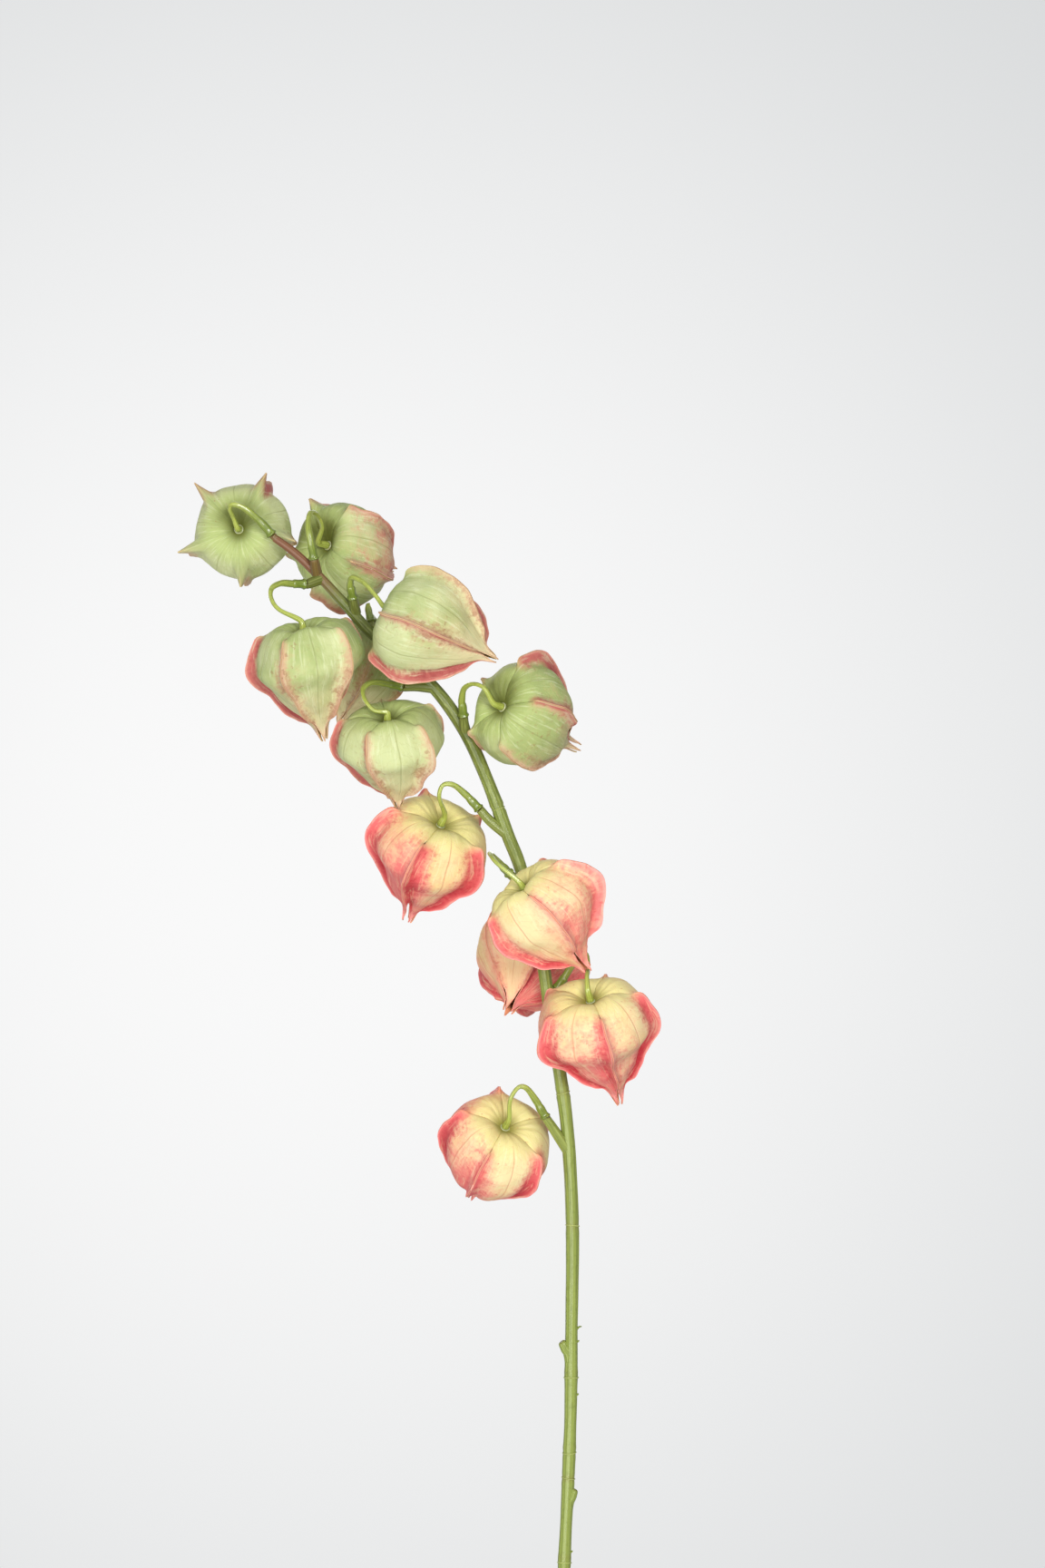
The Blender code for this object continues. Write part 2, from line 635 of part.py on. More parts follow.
    def tip_faces(self, panel):
        """The faces that close one petal to its point."""
        end, low = self.tip(panel), self.last
        for index in range(len(COLUMNS) - 1):
            self.face(self.outer(panel, low, index), self.outer(panel, low, index + 1), end)
        for side in (-1, 0):
            self.face(self.inner(panel, low, side + 1), self.inner(panel, low, side), end)
        self.face(self.outer(panel, low, len(COLUMNS) - 1), self.inner(panel, low, 1), end)
        self.face(self.inner(panel, low, -1), self.outer(panel, low, 0), end)

    def build(self):
        """The whole shell as triangles."""
        self.hole_faces()
        for low in range(self.last):
            for panel in range(PANELS):
                self.panel_faces(panel, low)
                self.keel_faces(panel, low)
        for panel in range(PANELS):
            self.tip_faces(panel)
        bmesh.ops.triangulate(self.bm, faces=self.bm.faces, quad_method="FIXED")
        return self.bm


def lantern_matrix(lantern):
    """The frame of a lantern: tips along +Z and the first keel towards +X."""
    along = Vector(lantern.axis).normalized()
    across = Vector(lantern.keel)
    across = (across - along * across.dot(along)).normalized()
    turned = Matrix((across, along.cross(across), along)).transposed()
    return Matrix.Translation(Vector(lantern.hole) * MM) @ turned.to_4x4()


def make_lantern(lantern):
    """One lantern, hung at its hole."""
    bm = Shell(lantern).build()
    name = f"lantern_{lantern.number:02d}"
    return object_from(name, bm, lantern.colour, lantern_matrix(lantern))


def main():
    """Build the vase, the stem, the stalks and the lanterns."""
    clear_scene()
    vase = make_vase()
    stem = make_stem()
    stem.parent = vase
    for stalk, lantern in zip(STALKS, LANTERNS):
        hooked = make_stalk(stalk, lantern)
        hooked.parent = stem
        hung = make_lantern(lantern)
        hung.parent = stem


main()
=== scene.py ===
"""Looks of a cut physalis stem that stands in a plain bottle vase.

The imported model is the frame. Each of its nodes is replaced by a piece that keeps the
node's form: the lanterns get cloth panels with double keels, the stalks and the stem a
grooved moulded skin, and the vase a turned wall under a matt glaze. The stem's fine lips
and the rings of glue are added. Sizes are written in millimetres, as in the part's
source, and are turned into metres when a mesh is made.
"""

import logging
import math
import random
from dataclasses import dataclass, field
from enum import Enum
from typing import Callable

import bpy
import numpy as np
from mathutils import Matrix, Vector

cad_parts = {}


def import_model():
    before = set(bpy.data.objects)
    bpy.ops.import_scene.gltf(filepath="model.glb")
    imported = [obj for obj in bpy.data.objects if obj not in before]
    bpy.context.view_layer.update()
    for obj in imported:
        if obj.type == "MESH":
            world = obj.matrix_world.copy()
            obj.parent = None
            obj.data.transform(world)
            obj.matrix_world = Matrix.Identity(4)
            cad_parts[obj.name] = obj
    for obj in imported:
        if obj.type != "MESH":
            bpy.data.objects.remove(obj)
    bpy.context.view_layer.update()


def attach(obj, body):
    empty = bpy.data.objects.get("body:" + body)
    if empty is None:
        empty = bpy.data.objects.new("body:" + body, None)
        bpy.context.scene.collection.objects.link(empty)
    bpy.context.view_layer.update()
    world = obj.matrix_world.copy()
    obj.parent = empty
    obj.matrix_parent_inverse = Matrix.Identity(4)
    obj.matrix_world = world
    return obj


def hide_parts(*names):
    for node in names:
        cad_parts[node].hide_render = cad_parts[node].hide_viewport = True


LOG = logging.getLogger("physalis")
MM = 0.001
BODY = "root"
# Past this angle, in degrees, an edge stays sharp.
SHARP_ANGLE = 55.0


def paint(red: int, green: int, blue: int) -> tuple:
    """Linear colour of a shade that is given on a screen's scale of 0 to 255.

    Args:
        red: Its red part.
        green: Its green part.
        blue: Its blue part.

    Returns:
        Red, green, blue and an alpha of 1, all linear.
    """
    shares = (part / 255 for part in (red, green, blue))
    return (*(share / 12.92 if share <= 0.04045 else ((share + 0.055) / 1.055) ** 2.4
              for share in shares), 1.0)


# Node books: sockets that arithmetic can be written on.


def operator(operation: str, swapped: bool = False) -> Callable:
    """A wire's arithmetic method.

    Args:
        operation: The Math node's operation.
        swapped: Whether the wire is the second value, after a number.

    Returns:
        A method that adds the Math node and gives its output.
    """
    def method(self: "Wire", *others: "Wire | float") -> "Wire":
        """Add the Math node."""
        return self.book.math(operation, *((*others, self) if swapped else (self, *others)))

    return method


@dataclass(frozen=True)
class Wire:
    """An output socket of a node tree, with arithmetic that adds Math nodes."""

    book: "NodeBook"
    socket: bpy.types.NodeSocket

    __add__, __radd__ = operator("ADD"), operator("ADD", swapped=True)
    __sub__, __rsub__ = operator("SUBTRACT"), operator("SUBTRACT", swapped=True)
    __mul__, __rmul__ = operator("MULTIPLY"), operator("MULTIPLY", swapped=True)
    __pow__, __abs__ = operator("POWER"), operator("ABSOLUTE")


@dataclass(frozen=True)
class NodeBook:
    """Adds nodes to one node tree, for a material, a world or a geometry tree."""

    tree: bpy.types.NodeTree

    def add(self, kind: str, settings: dict | None = None,
            sockets: dict | None = None) -> bpy.types.Node:
        """Add a node.

        Args:
            kind: The node's type.
            settings: Properties that are set first. Captures are names of values that
                the node keeps.
            sockets: Values or wires for the input sockets, by name or by number.

        Returns:
            The node.
        """
        made = self.tree.nodes.new(kind)
        for name, value in (settings or {}).items():
            if name == "captures":
                for label in value:
                    made.capture_items.new("FLOAT", label)
            else:
                setattr(made, name, value)
        for name, value in (sockets or {}).items():
            self.feed(made.inputs[name], value)
        return made

    def node(self, kind: str, settings: dict | None = None, sockets: dict | None = None,
             output: int | str = 0) -> Wire:
        """Add a node, and give one of its outputs by name or by number."""
        return Wire(self, self.add(kind, settings, sockets).outputs[output])

    def feed(self, socket: bpy.types.NodeSocket, value: object) -> None:
        """Link a wire to a socket, or set its value.

        Args:
            socket: The input socket.
            value: A wire, a number, a colour or a vector.
        """
        if isinstance(value, Wire):
            self.tree.links.new(value.socket, socket)
        else:
            socket.default_value = value

    def math(self, operation: str, *values: "Wire | float") -> Wire:
        """Add a Math node of the given operation on wires or numbers."""
        return self.node("ShaderNodeMath", {"operation": operation},
                         dict(enumerate(values)))

    def blend(self, share: "Wire | float", low: "Wire | tuple",
              high: "Wire | tuple") -> Wire:
        """Mix two colours, by how much there is of the second one."""
        return self.node("ShaderNodeMix", {"data_type": "RGBA"},
                         {0: share, 6: low, 7: high}, output=2)

    def cover(self, body: "Wire | tuple", *coats: tuple) -> Wire:
        """Lay coats over a colour.

        Args:
            body: The colour below.
            coats: A share and a colour each, from the lowest up.

        Returns:
            The colour that is seen.
        """
        for share, colour in coats:
            body = self.blend(share, body, colour)
        return body

    def ramp_up(self, value: Wire, start: float, end: float) -> Wire:
        """Smooth step from 0 at the start to 1 at the end, in either direction."""
        return self.node("ShaderNodeMapRange", {"interpolation_type": "SMOOTHSTEP"},
                         {0: value, 1: start, 2: end, 3: 0.0, 4: 1.0})

    def place(self) -> Wire:
        """Object coordinates."""
        return self.node("ShaderNodeTexCoord", output="Object")

    def vector(self, *parts: "Wire | float") -> Wire:
        """A vector from its three parts."""
        return self.node("ShaderNodeCombineXYZ", None, dict(enumerate(parts)))

    def noise(self, scale: float, detail: float = 2.0, rough: float = 0.5,
              where: Wire | None = None, bend: float = 0.0) -> Wire:
        """Soft noise between 0 and 1.

        Args:
            scale: How many waves there are to a metre.
            detail: How many finer layers it has.
            rough: How strong each finer layer is.
            where: The place to read it at, in place of Object coordinates.
            bend: How far it is distorted.

        Returns:
            The noise.
        """
        return self.node("ShaderNodeTexNoise", None,
                         {"Vector": where or self.place(), "Scale": scale,
                          "Detail": detail, "Roughness": rough, "Distortion": bend})

    def named(self, name: str, kind: str = "FLOAT") -> Wire:
        """What the guide keeps at each of its points, in a geometry tree."""
        return self.node("GeometryNodeInputNamedAttribute", {"data_type": kind},
                         {"Name": name})

    def attribute(self, name: str) -> Wire:
        """A number that the mesh keeps at each of its points, in a material."""
        return self.node("ShaderNodeAttribute", {"attribute_name": name}, output="Fac")

    def relief(self, height: Wire, strength: float, depth: float) -> Wire:
        """A normal that shows a height.

        Args:
            height: The height at each place.
            strength: How strongly it shows, up to 1.
            depth: What a height of 1 stands for, in metres.

        Returns:
            The normal.
        """
        return self.node("ShaderNodeBump", None,
                         {"Strength": strength, "Distance": depth, "Height": height},
                         output="Normal")


# Finishes.


@dataclass(frozen=True)
class Surface:
    """What is the same all over a finish."""

    coat_rough: float = 0.1
    specular: float = 0.5
    softness: float = 0.0
    soft_radius: tuple = (1.0, 0.6, 0.35)
    soft_scale: float = 0.002

    def sockets(self) -> dict:
        """What the shader's own sockets are set to.

        Returns:
            Values by the name of the shader's socket.
        """
        return {
            "Coat Roughness": self.coat_rough, "Specular IOR Level": self.specular,
            "Subsurface Weight": self.softness, "Subsurface Radius": self.soft_radius,
            "Subsurface Scale": self.soft_scale,
        }


@dataclass(frozen=True)
class Finish:
    """One finish: its name, its steady values, and the nodes of what varies."""

    name: str
    surface: Surface = Surface()

    def make(self) -> bpy.types.Material:
        """Make the finish as a material with a Principled shader.

        Returns:
            The material.
        """
        made = bpy.data.materials.new(self.name)
        made.use_nodes = True
        tree = made.node_tree
        shader = next(n for n in tree.nodes if n.type == "BSDF_PRINCIPLED")
        book = NodeBook(tree)
        for name, value in {**self.surface.sockets(), **self.varying(book)}.items():
            book.feed(shader.inputs[name], value)
        return made

    def varying(self, book: NodeBook) -> dict:
        """Wires for the shader's sockets. Each finish gives its own."""
        raise NotImplementedError


@dataclass(frozen=True)
class ClothFinish(Finish):
    """Thin heat-set cloth of a lantern, blushed towards its keels.

    Pale, deep, stain, milk and low make up the cloth's ground; blush, band, valley and
    rim are the reds that grow towards a keel, and valley, a darker red, is also painted
    shade in the fold beside a keel; dimple also gives the painted shade on a dimple's upper
    wall; bruise and rust are its brown stains. The numbers say how strong, how wide or
    how far in those are.
    """

    pale: tuple = paint(198, 205, 150)
    deep: tuple = paint(164, 178, 112)
    stain: tuple = paint(184, 188, 122)
    milk: tuple = paint(228, 232, 192)
    low: tuple = paint(224, 198, 158)
    blush: tuple = paint(220, 172, 142)
    band: tuple = paint(194, 110, 100)
    valley: tuple = paint(152, 66, 64)
    rim: tuple = paint(222, 166, 146)
    crest: tuple = paint(172, 187, 114)
    dimple: tuple = paint(100, 106, 42)
    tip: tuple = paint(228, 190, 164)
    vein: tuple = paint(136, 138, 80)
    lining: tuple = paint(206, 176, 122)
    bruise: tuple = paint(154, 112, 78)
    fade: float = 0.5
    heat: float = 0.12
    rust: float = 0.7
    band_wide: float = 0.46
    band_start: float = 0.945
    band_soft: float = 0.12
    blush_reach: float = 0.70
    low_reach: float = 0.20
    vein_share: float = 0.4

    def varying(self, book: NodeBook) -> dict:
        """Colour, roughness and the fine relief of the cloth.

        Args:
            book: The material's node book.

        Returns:
            Wires by socket name.
        """
        signed, down, flush, gold, shade, rosy, lining = (
            book.attribute(name) for name in
            ("across", "down", "flush", "gold", "shade", "rosy", "lining"))
        across, step = abs(signed), book.ramp_up
        threads = book.vector(signed * 5.0, down * 52.0, gold * 40.0)
        rays = book.vector(signed * 13.0, down * 7.0, gold * 40.0)
        broad = book.noise(45.0, 3.0, 0.55)
        blotch = book.noise(150.0, 4.0, 0.62, bend=0.6)
        fine = book.noise(650.0, 3.0, 0.6)
        fibre = book.noise(1.0, 3.0, 0.6, where=threads, bend=0.4)
        rays = book.noise(1.0, 4.0, 0.6, where=rays, bend=0.5)
        mottle = blotch * 0.5 + fine * 0.2 + fibre * 0.3
        streak = (fibre - 0.5) * 0.7 + (blotch - 0.5) * 0.25
        sunk = down + (blotch - 0.5) * 0.4
        lower, calm = step(down, 0.22, 0.60), step(down, 0.17, 0.26)

        # The ground, and the blush that comes from the keels and from below.
        spread = across + (mottle - 0.5) * 0.9 + lower * flush * self.low_reach
        reach = step(spread, self.blush_reach, 1.0) * step(down, 0.16, 0.32)
        rosy = rosy * (lower * 0.5 + 0.65)
        patch = step(mottle, 0.46, 0.64) * step(spread, 0.40, 0.95)
        body = book.cover(
            self.pale,
            (step(broad + (gold - 0.5) * 0.4, 0.36, 0.66), self.deep),
            (step(mottle, 0.50, 0.62) * 0.35, self.stain),
            (step(sunk + across * 0.12, 0.42, 0.86) * self.fade, self.low),
            (reach * (flush * 0.75 + 0.25), self.blush),
            (step(mottle * 0.9 + rosy, 0.62, 1.12) * 0.85, self.blush),
            (step(mottle * 1.5 + rosy + across * 0.25, 1.20, 1.65) * 0.9, self.band),
            (patch * lower * flush * 0.6, self.band),
            (step(sunk + across * 0.15, 0.42, 0.84) * flush * flush * self.heat, self.band),
        )

        # Brown stains, then the red band along a keel, and a darker red in its valley that is
        # painted shade of the fold.
        bruised = step(book.noise(95.0, 3.0, 0.6, bend=0.5), 0.54, 0.70)
        bruised = bruised * step(across, 0.42, 0.78) * lower
        grain = step(mottle + (fine - 0.5) * 0.5, 0.40, 0.58) * 0.7 + 0.3
        rust = across + (mottle - 0.5) * 1.5 + (broad - 0.5) * 0.7 + lower * 0.08
        start, soft = self.band_start, self.band_soft
        wide = across + flush**3 * self.band_wide + streak * (soft + 0.14)
        halo = step(wide, start - 0.09, start - 0.03) * step(wide, start + 0.05, start)
        outer = step(wide, start - soft * 0.4, start + soft) * calm
        mixed = book.blend(step(flush + (blotch - 0.5) * 0.5, 0.3, 0.65), self.rim, self.band)
        tinted = step(flush, 0.05, 0.6)
        # Painted shade: a darker red in the keel's valley, where the fold lies in shadow;
        # stronger where the keel is redder.
        hot = step(across + streak * 0.3, 0.52, 0.80) * step(across, 0.985, 0.87)
        hot = hot * step(flush + streak * 0.5, 0.62, 1.0) * lower
        grit = step(fine * 0.55 + blotch * 0.45, 0.47, 0.60) * 0.75 + 0.25
        grit = grit * step(wide, start - 0.30, start) * step(across, 0.985, 0.90)
        grit = grit * calm * step(flush, 0.45, 0.95)
        edge = step(across, 0.955, 0.99) * step(down, 0.20, 0.28)
        body = book.cover(
            body,
            (bruised * grain * 0.85, self.bruise),
            (step(rust, 0.70, 1.10) * lower * grain * self.rust, self.bruise),
            (halo * calm * 0.2, self.rim),
            (outer * (tinted * 0.8 + 0.2), mixed),
            # Painted shade in the keel's valley, laid over the red.
            (hot * 0.9, self.valley),
            (grit * 0.5, self.valley),
            (edge * (tinted * 0.6 + 0.2 - flush * 0.3), self.rim),
        )

        # The crown, its dimple with painted shade on its upper wall, and the tips, then
        # veins, specks and freckles.
        ragged = down + (mottle - 0.5) * 0.10
        wall = step(down + (mottle - 0.5) * 0.08, 0.20, 0.08)
        line = step(abs(signed + (book.noise(70.0, 2.0) - 0.5) * 0.10), 0.034, 0.008)
        line = line * step(down, 0.10, 0.2) * step(down, 0.88, 0.72)
        web = self._web(book, across, down)
        speck = step(book.noise(800.0, 1.0, 0.4), 0.70, 0.76) * step(blotch, 0.44, 0.6)
        freckle = step(book.noise(430.0, 2.0, 0.55), 0.62, 0.69)
        freckle = freckle * step(broad + across * 0.25, 0.52, 0.74) * calm
        body = book.cover(
            body,
            (step(ragged, 0.27, 0.12) * 0.85 * (1 - outer * 0.5), self.crest),
            (step(rays, 0.50, 0.68) * 0.34, self.milk),
            (step(down, 0.085, 0.0), self.dimple),
            # Painted shade: the dimple's dark colour laid on its upper wall, as strong as the
            # lantern's shade.
            (wall * shade, self.dimple),
            (step(ragged, 0.84, 0.98) * 0.65, self.tip),
            (line * self.vein_share, self.vein),
            (web * 0.10, self.vein),
            (speck * 0.5 * (flush * 0.8 + 0.15), self.valley),
            (freckle * 0.5, self.bruise),
            (lining, self.lining),
        )
        height = fine * 0.3 + book.noise(2600.0, 1.0) * 0.3 - line * 0.3 + web * 0.15
        height = height + fibre * 0.7 * step(across, 0.3, 0.8)
        return {"Base Color": body, "Roughness": fine * 0.16 + 0.52,
                "Normal": book.relief(height, 0.6, 0.0004)}

    def _web(self, book: NodeBook, across: Wire, down: Wire) -> Wire:
        """Side veins that leave the middle one at a slant and fork.

        Args:
            book: The material's node book.
            across: How far from the middle vein a place is.
            down: How far down the panel it is.

        Returns:
            How much of a vein is there.
        """
        slant = down * 15.0 - across * 2.8 + book.noise(110.0, 3.0) * 3.2
        rib = book.ramp_up(abs(book.math("FRACT", slant) - 0.5), 0.09, 0.01)
        return rib * book.ramp_up(across, 0.02, 0.10) * book.ramp_up(across, 0.85, 0.6)


@dataclass(frozen=True)
class PlasticFinish(Finish):
    """Moulded plastic that is toned along its length, with pale and dark strands."""

    foot: tuple = paint(142, 156, 74)
    head: tuple = paint(104, 113, 50)
    streak: tuple = paint(96, 108, 42)
    blush: tuple = paint(128, 74, 54)
    light: tuple = paint(164, 176, 94)
    length: float = 9.0
    gloss: float = 0.32
    coat: float = 0.0
    ribs: int = 11

    def varying(self, book: NodeBook) -> dict:
        """Colour, roughness and fine lengthwise relief.

        Args:
            book: The material's node book.

        Returns:
            Wires by socket name.
        """
        along, round_it, mark = (book.attribute(name) for name in
                                 ("along", "round", "mark"))
        step = book.ramp_up
        broad = book.noise(60.0, 3.0, 0.55)
        grain = book.noise(420.0, 3.0, 0.6)
        ripple = book.math("SINE", round_it * (math.tau * self.ribs) + broad * 5.0)
        turn = round_it * math.tau
        strand = book.noise(1.0, 4.0, 0.62, where=book.vector(
            book.math("SINE", turn) * 2.4, book.math("COSINE", turn) * 2.4,
            along * self.length))
        body = book.cover(
            self.foot,
            (step(along + (broad - 0.5) * 0.25, 0.15, 0.9), self.head),
            (step(strand, 0.52, 0.64) * 0.55, self.streak),
            (step(strand, 0.48, 0.36) * 0.5, self.light),
            (step(ripple, 0.1, 1.0) * 0.3, self.streak),
            (step(grain, 0.52, 0.72) * 0.35, self.streak),
            (book.math("MINIMUM", mark, 1.0), self.blush),
        )
        height = ripple * 0.4 + grain * 0.3 + strand * 0.8
        return {"Base Color": body, "Roughness": grain * 0.2 + self.gloss,
                "Coat Weight": self.coat, "Normal": book.relief(height, 0.3, 0.0003)}


@dataclass(frozen=True)
class GlazeFinish(Finish):
    """Matt stoneware glaze with iron specks, bare clay at the foot."""

    glaze: tuple = paint(214, 209, 200)
    thin: tuple = paint(196, 186, 170)
    clay: tuple = paint(150, 122, 98)
    speck: tuple = paint(96, 78, 62)

    def varying(self, book: NodeBook) -> dict:
        """Colour, roughness and the turned relief of the wall.

        Args:
            book: The material's node book.

        Returns:
            Wires by socket name.
        """
        place = book.place()
        rise = book.node("ShaderNodeSeparateXYZ", None, {0: place}, output="Z")
        broad = book.noise(22.0, 3.0)
        fine = book.noise(700.0, 3.0, 0.6)
        dots = book.node("ShaderNodeTexVoronoi", None,
                         {"Vector": place, "Scale": 300.0, "Randomness": 1.0})
        fleck = book.ramp_up(dots - book.noise(130.0, 1.0) * 0.34, 0.02, -0.03)
        bare = book.ramp_up(rise + broad * 0.0012, 0.0052, 0.0040)
        body = book.cover(
            self.glaze,
            (book.ramp_up(broad, 0.35, 0.7) * 0.5, self.thin),
            (book.attribute("edge") * 0.8, self.thin),
            (fleck * 0.75, self.speck),
            (bare, self.clay),
        )
        turning = book.math("SINE", rise * 1500.0 + broad * 4.0)
        height = turning * 0.25 + fine * 0.25 - fleck * 0.3
        return {"Base Color": body, "Roughness": fine * 0.2 + 0.42 + bare * 0.3,
                "Normal": book.relief(height, 0.3, 0.0006)}


@dataclass(frozen=True)
class GlueFinish(Finish):
    """Clear hot glue, slightly milky."""

    def varying(self, book: NodeBook) -> dict:
        """A milky colour with a wet surface.

        Args:
            book: The material's node book.

        Returns:
            Wires by socket name.
        """
        cloud = book.noise(500.0, 2.0)
        return {"Base Color": book.blend(cloud, paint(178, 180, 128), paint(206, 206, 170)),
                "Roughness": cloud * 0.15 + 0.12, "Coat Weight": 0.6}


@dataclass(frozen=True)
class FloorFinish(Finish):
    """Pale matt floor that fades out between two distances from its middle."""

    start: float = 0.35
    end: float = 1.0

    def varying(self, book: NodeBook) -> dict:
        """A flat pale colour and an alpha that runs out with distance.

        Args:
            book: The material's node book.

        Returns:
            Wires by socket name.
        """
        away = book.node("ShaderNodeVectorMath", {"operation": "LENGTH"},
                         {0: book.place()}, output="Value")
        tone = book.noise(6.0, 2.0)
        return {"Base Color": book.blend(tone, paint(236, 236, 237), paint(240, 240, 240)),
                "Roughness": tone * 0.05 + 0.7,
                "Alpha": book.ramp_up(away, self.end, self.start)}


GREEN_CLOTH = ClothFinish("green_cloth", Surface(softness=0.06, specular=0.22))
CORAL_CLOTH = ClothFinish(
    "coral_cloth", Surface(softness=0.06, specular=0.22),
    pale=paint(240, 219, 166), deep=paint(235, 207, 146), stain=paint(234, 198, 132),
    milk=paint(250, 234, 190), low=paint(244, 196, 156), blush=paint(244, 168, 144),
    band=paint(232, 112, 110), valley=paint(188, 40, 52), rim=paint(248, 172, 164),
    crest=paint(232, 224, 150), dimple=paint(150, 146, 66), tip=paint(248, 172, 164),
    vein=paint(206, 116, 92), lining=paint(238, 158, 118), bruise=paint(212, 92, 90),
    fade=0.55, heat=0.9, rust=0.5, band_wide=0.52, band_start=0.93, band_soft=0.24,
    blush_reach=0.40, low_reach=0.50, vein_share=0.45,
)
STEM_PLASTIC = PlasticFinish("stem_plastic", Surface(specular=0.35), length=26.0, coat=0.15)
LIP_PLASTIC = PlasticFinish(
    "lip_plastic", Surface(specular=0.35), foot=paint(170, 180, 104),
    head=paint(150, 156, 84), streak=paint(140, 150, 76), blush=paint(128, 70, 56),
    light=paint(196, 202, 130), gloss=0.35,
)
STALK_PLASTIC = PlasticFinish(
    "stalk_plastic", Surface(softness=0.08, soft_scale=0.0015),
    foot=paint(112, 130, 44), head=paint(180, 190, 88), streak=paint(96, 112, 34),
    blush=paint(84, 84, 36), light=paint(170, 184, 92), length=3.0, gloss=0.26,
    coat=0.45,
)
GLAZE = GlazeFinish("stoneware_glaze", Surface(specular=0.4, coat_rough=0.3))
GLUE = GlueFinish("clear_glue", Surface(softness=0.3))
FLOOR = FloorFinish("pale_floor")


# Smooth lines and meshes.


def smooth_line(rows: np.ndarray, at: np.ndarray) -> np.ndarray:
    """Values of a smooth line through given rows.

    Args:
        rows: One row of numbers for each knot.
        at: Where to read the line; 0 is the first knot and 1 the second.

    Returns:
        One row for each place.
    """
    rows = np.asarray(rows, float)
    padded = np.vstack([2 * rows[0] - rows[1], rows, 2 * rows[-1] - rows[-2]])
    index = np.clip(np.floor(at).astype(int), 0, len(rows) - 2)
    t = (at - index)[:, None]
    a, b, c, d = (padded[index + k] for k in range(4))
    return 0.5 * (2 * b + (c - a) * t + (2 * a - 5 * b + 4 * c - d) * t**2
                  + (3 * b - a - 3 * c + d) * t**3)


def smooth_run(knots: object, steps: int) -> np.ndarray:
    """A smooth line through knots, with so many even steps from each to the next."""
    spans = len(knots) - 1
    return smooth_line(knots, np.linspace(0, spans, spans * steps + 1))


def smooth_step(value: np.ndarray, start: float, end: float) -> np.ndarray:
    """A smooth step from 0 at the start to 1 at the end."""
    share = np.clip((value - start) / (end - start), 0, 1)
    return share * share * (3 - 2 * share)


def window(value: np.ndarray, start: float, full: float, fade: float,
           end: float) -> np.ndarray:
    """A smooth rise from 0 to 1 between start and full, and a fall from fade to end."""
    return smooth_step(value, start, full) * smooth_step(-value, -end, -fade)


def bell(value: np.ndarray, width: float, power: int = 2) -> np.ndarray:
    """A bump of 1 at zero; a higher power makes its top flatter."""
    return np.exp(-((value / width) ** power))


def unit(way: object) -> np.ndarray:
    """A direction, or rows of directions, with a length of 1."""
    way = np.asarray(way, float)
    return way / np.linalg.norm(way, axis=-1, keepdims=True)


def lathe(line: np.ndarray, sides: int, foot: bool = True) -> tuple:
    """Turn a line round the Z axis.

    Args:
        line: Rows of radius and height.
        sides: How many faces go round.
        foot: Whether the first row is closed too, and not only the last one.

    Returns:
        Points row by row and then the hubs of the closed rows, and faces of four points.
    """
    turns = np.arange(sides) * (math.tau / sides)
    radius, height = line[:, :1], line[:, 1:]
    points = np.stack([radius * np.cos(turns), radius * np.sin(turns),
                       np.repeat(height, sides, 1)], axis=2).reshape(-1, 3)
    row, near = np.arange(len(line) - 1)[:, None] * sides, np.arange(sides)[None, :]
    far = (near + 1) % sides
    faces = [np.stack([row + near, row + far, row + sides + far, row + sides + near],
                      axis=2).reshape(-1, 4)]
    for index, order in [(0, -1)] * foot + [(len(line) - 1, 1)]:
        start, even = index * sides, np.arange(0, sides, 2)
        fan = np.stack([start + even, start + even + 1, start + (even + 2) % sides,
                        np.full(len(even), len(points))], axis=1)
        faces.append(fan[:, ::order])
        points = np.vstack([points, [[0.0, 0.0, line[index, 1]]]])
    return points, np.vstack(faces)


def raw_mesh(name: str, points: np.ndarray, values: dict, edges: list | tuple = (),
             faces: list | tuple = ()) -> bpy.types.Mesh:
    """A mesh in metres from points in millimetres.

    Args:
        name: The mesh's name.
        points: One row of three numbers for each point.
        values: Numbers or vectors kept at each point, by attribute name.
        edges: Pairs of point numbers.
        faces: Rows of four point numbers.

    Returns:
        The mesh.
    """
    mesh = bpy.data.meshes.new(name)
    mesh.from_pydata((points * MM).tolist(), edges, faces)
    for label, numbers in values.items():
        numbers = np.asarray(numbers, np.float32)
        kind, slot = (("FLOAT", "value") if numbers.ndim == 1
                      else ("FLOAT_VECTOR", "vector"))
        kept = mesh.attributes.new(label, kind, "POINT")
        kept.data.foreach_set(slot, numbers.ravel())
    return mesh


def show(name: str, mesh: bpy.types.Mesh, sharp: float = SHARP_ANGLE) -> bpy.types.Object:
    """Put a mesh in the scene, smooth but for edges past the sharp angle.

    Args:
        name: The object's name.
        mesh: The mesh.
        sharp: The angle in degrees past which an edge stays sharp.

    Returns:
        The object.
    """
    mesh.shade_smooth()
    mesh.set_sharp_from_angle(angle=math.radians(sharp))
    made = bpy.data.objects.new(name, mesh)
    bpy.context.scene.collection.objects.link(made)
    return made


def mesh_piece(name: str, points: np.ndarray, faces: np.ndarray, values: dict,
               finish: bpy.types.Material, sharp: float = SHARP_ANGLE) -> bpy.types.Object:
    """A piece of faces with one finish, at the origin, with its place in its mesh.

    Args:
        name: The piece's name.
        points: Points in millimetres.
        faces: Rows of four point numbers.
        values: Numbers kept at each point, by attribute name.
        finish: The piece's material.
        sharp: The angle in degrees past which an edge stays sharp.

    Returns:
        The object.
    """
    mesh = raw_mesh(name, points, values, faces=faces.tolist())
    mesh.materials.append(finish)
    mesh.validate()
    return show(name, mesh, sharp)


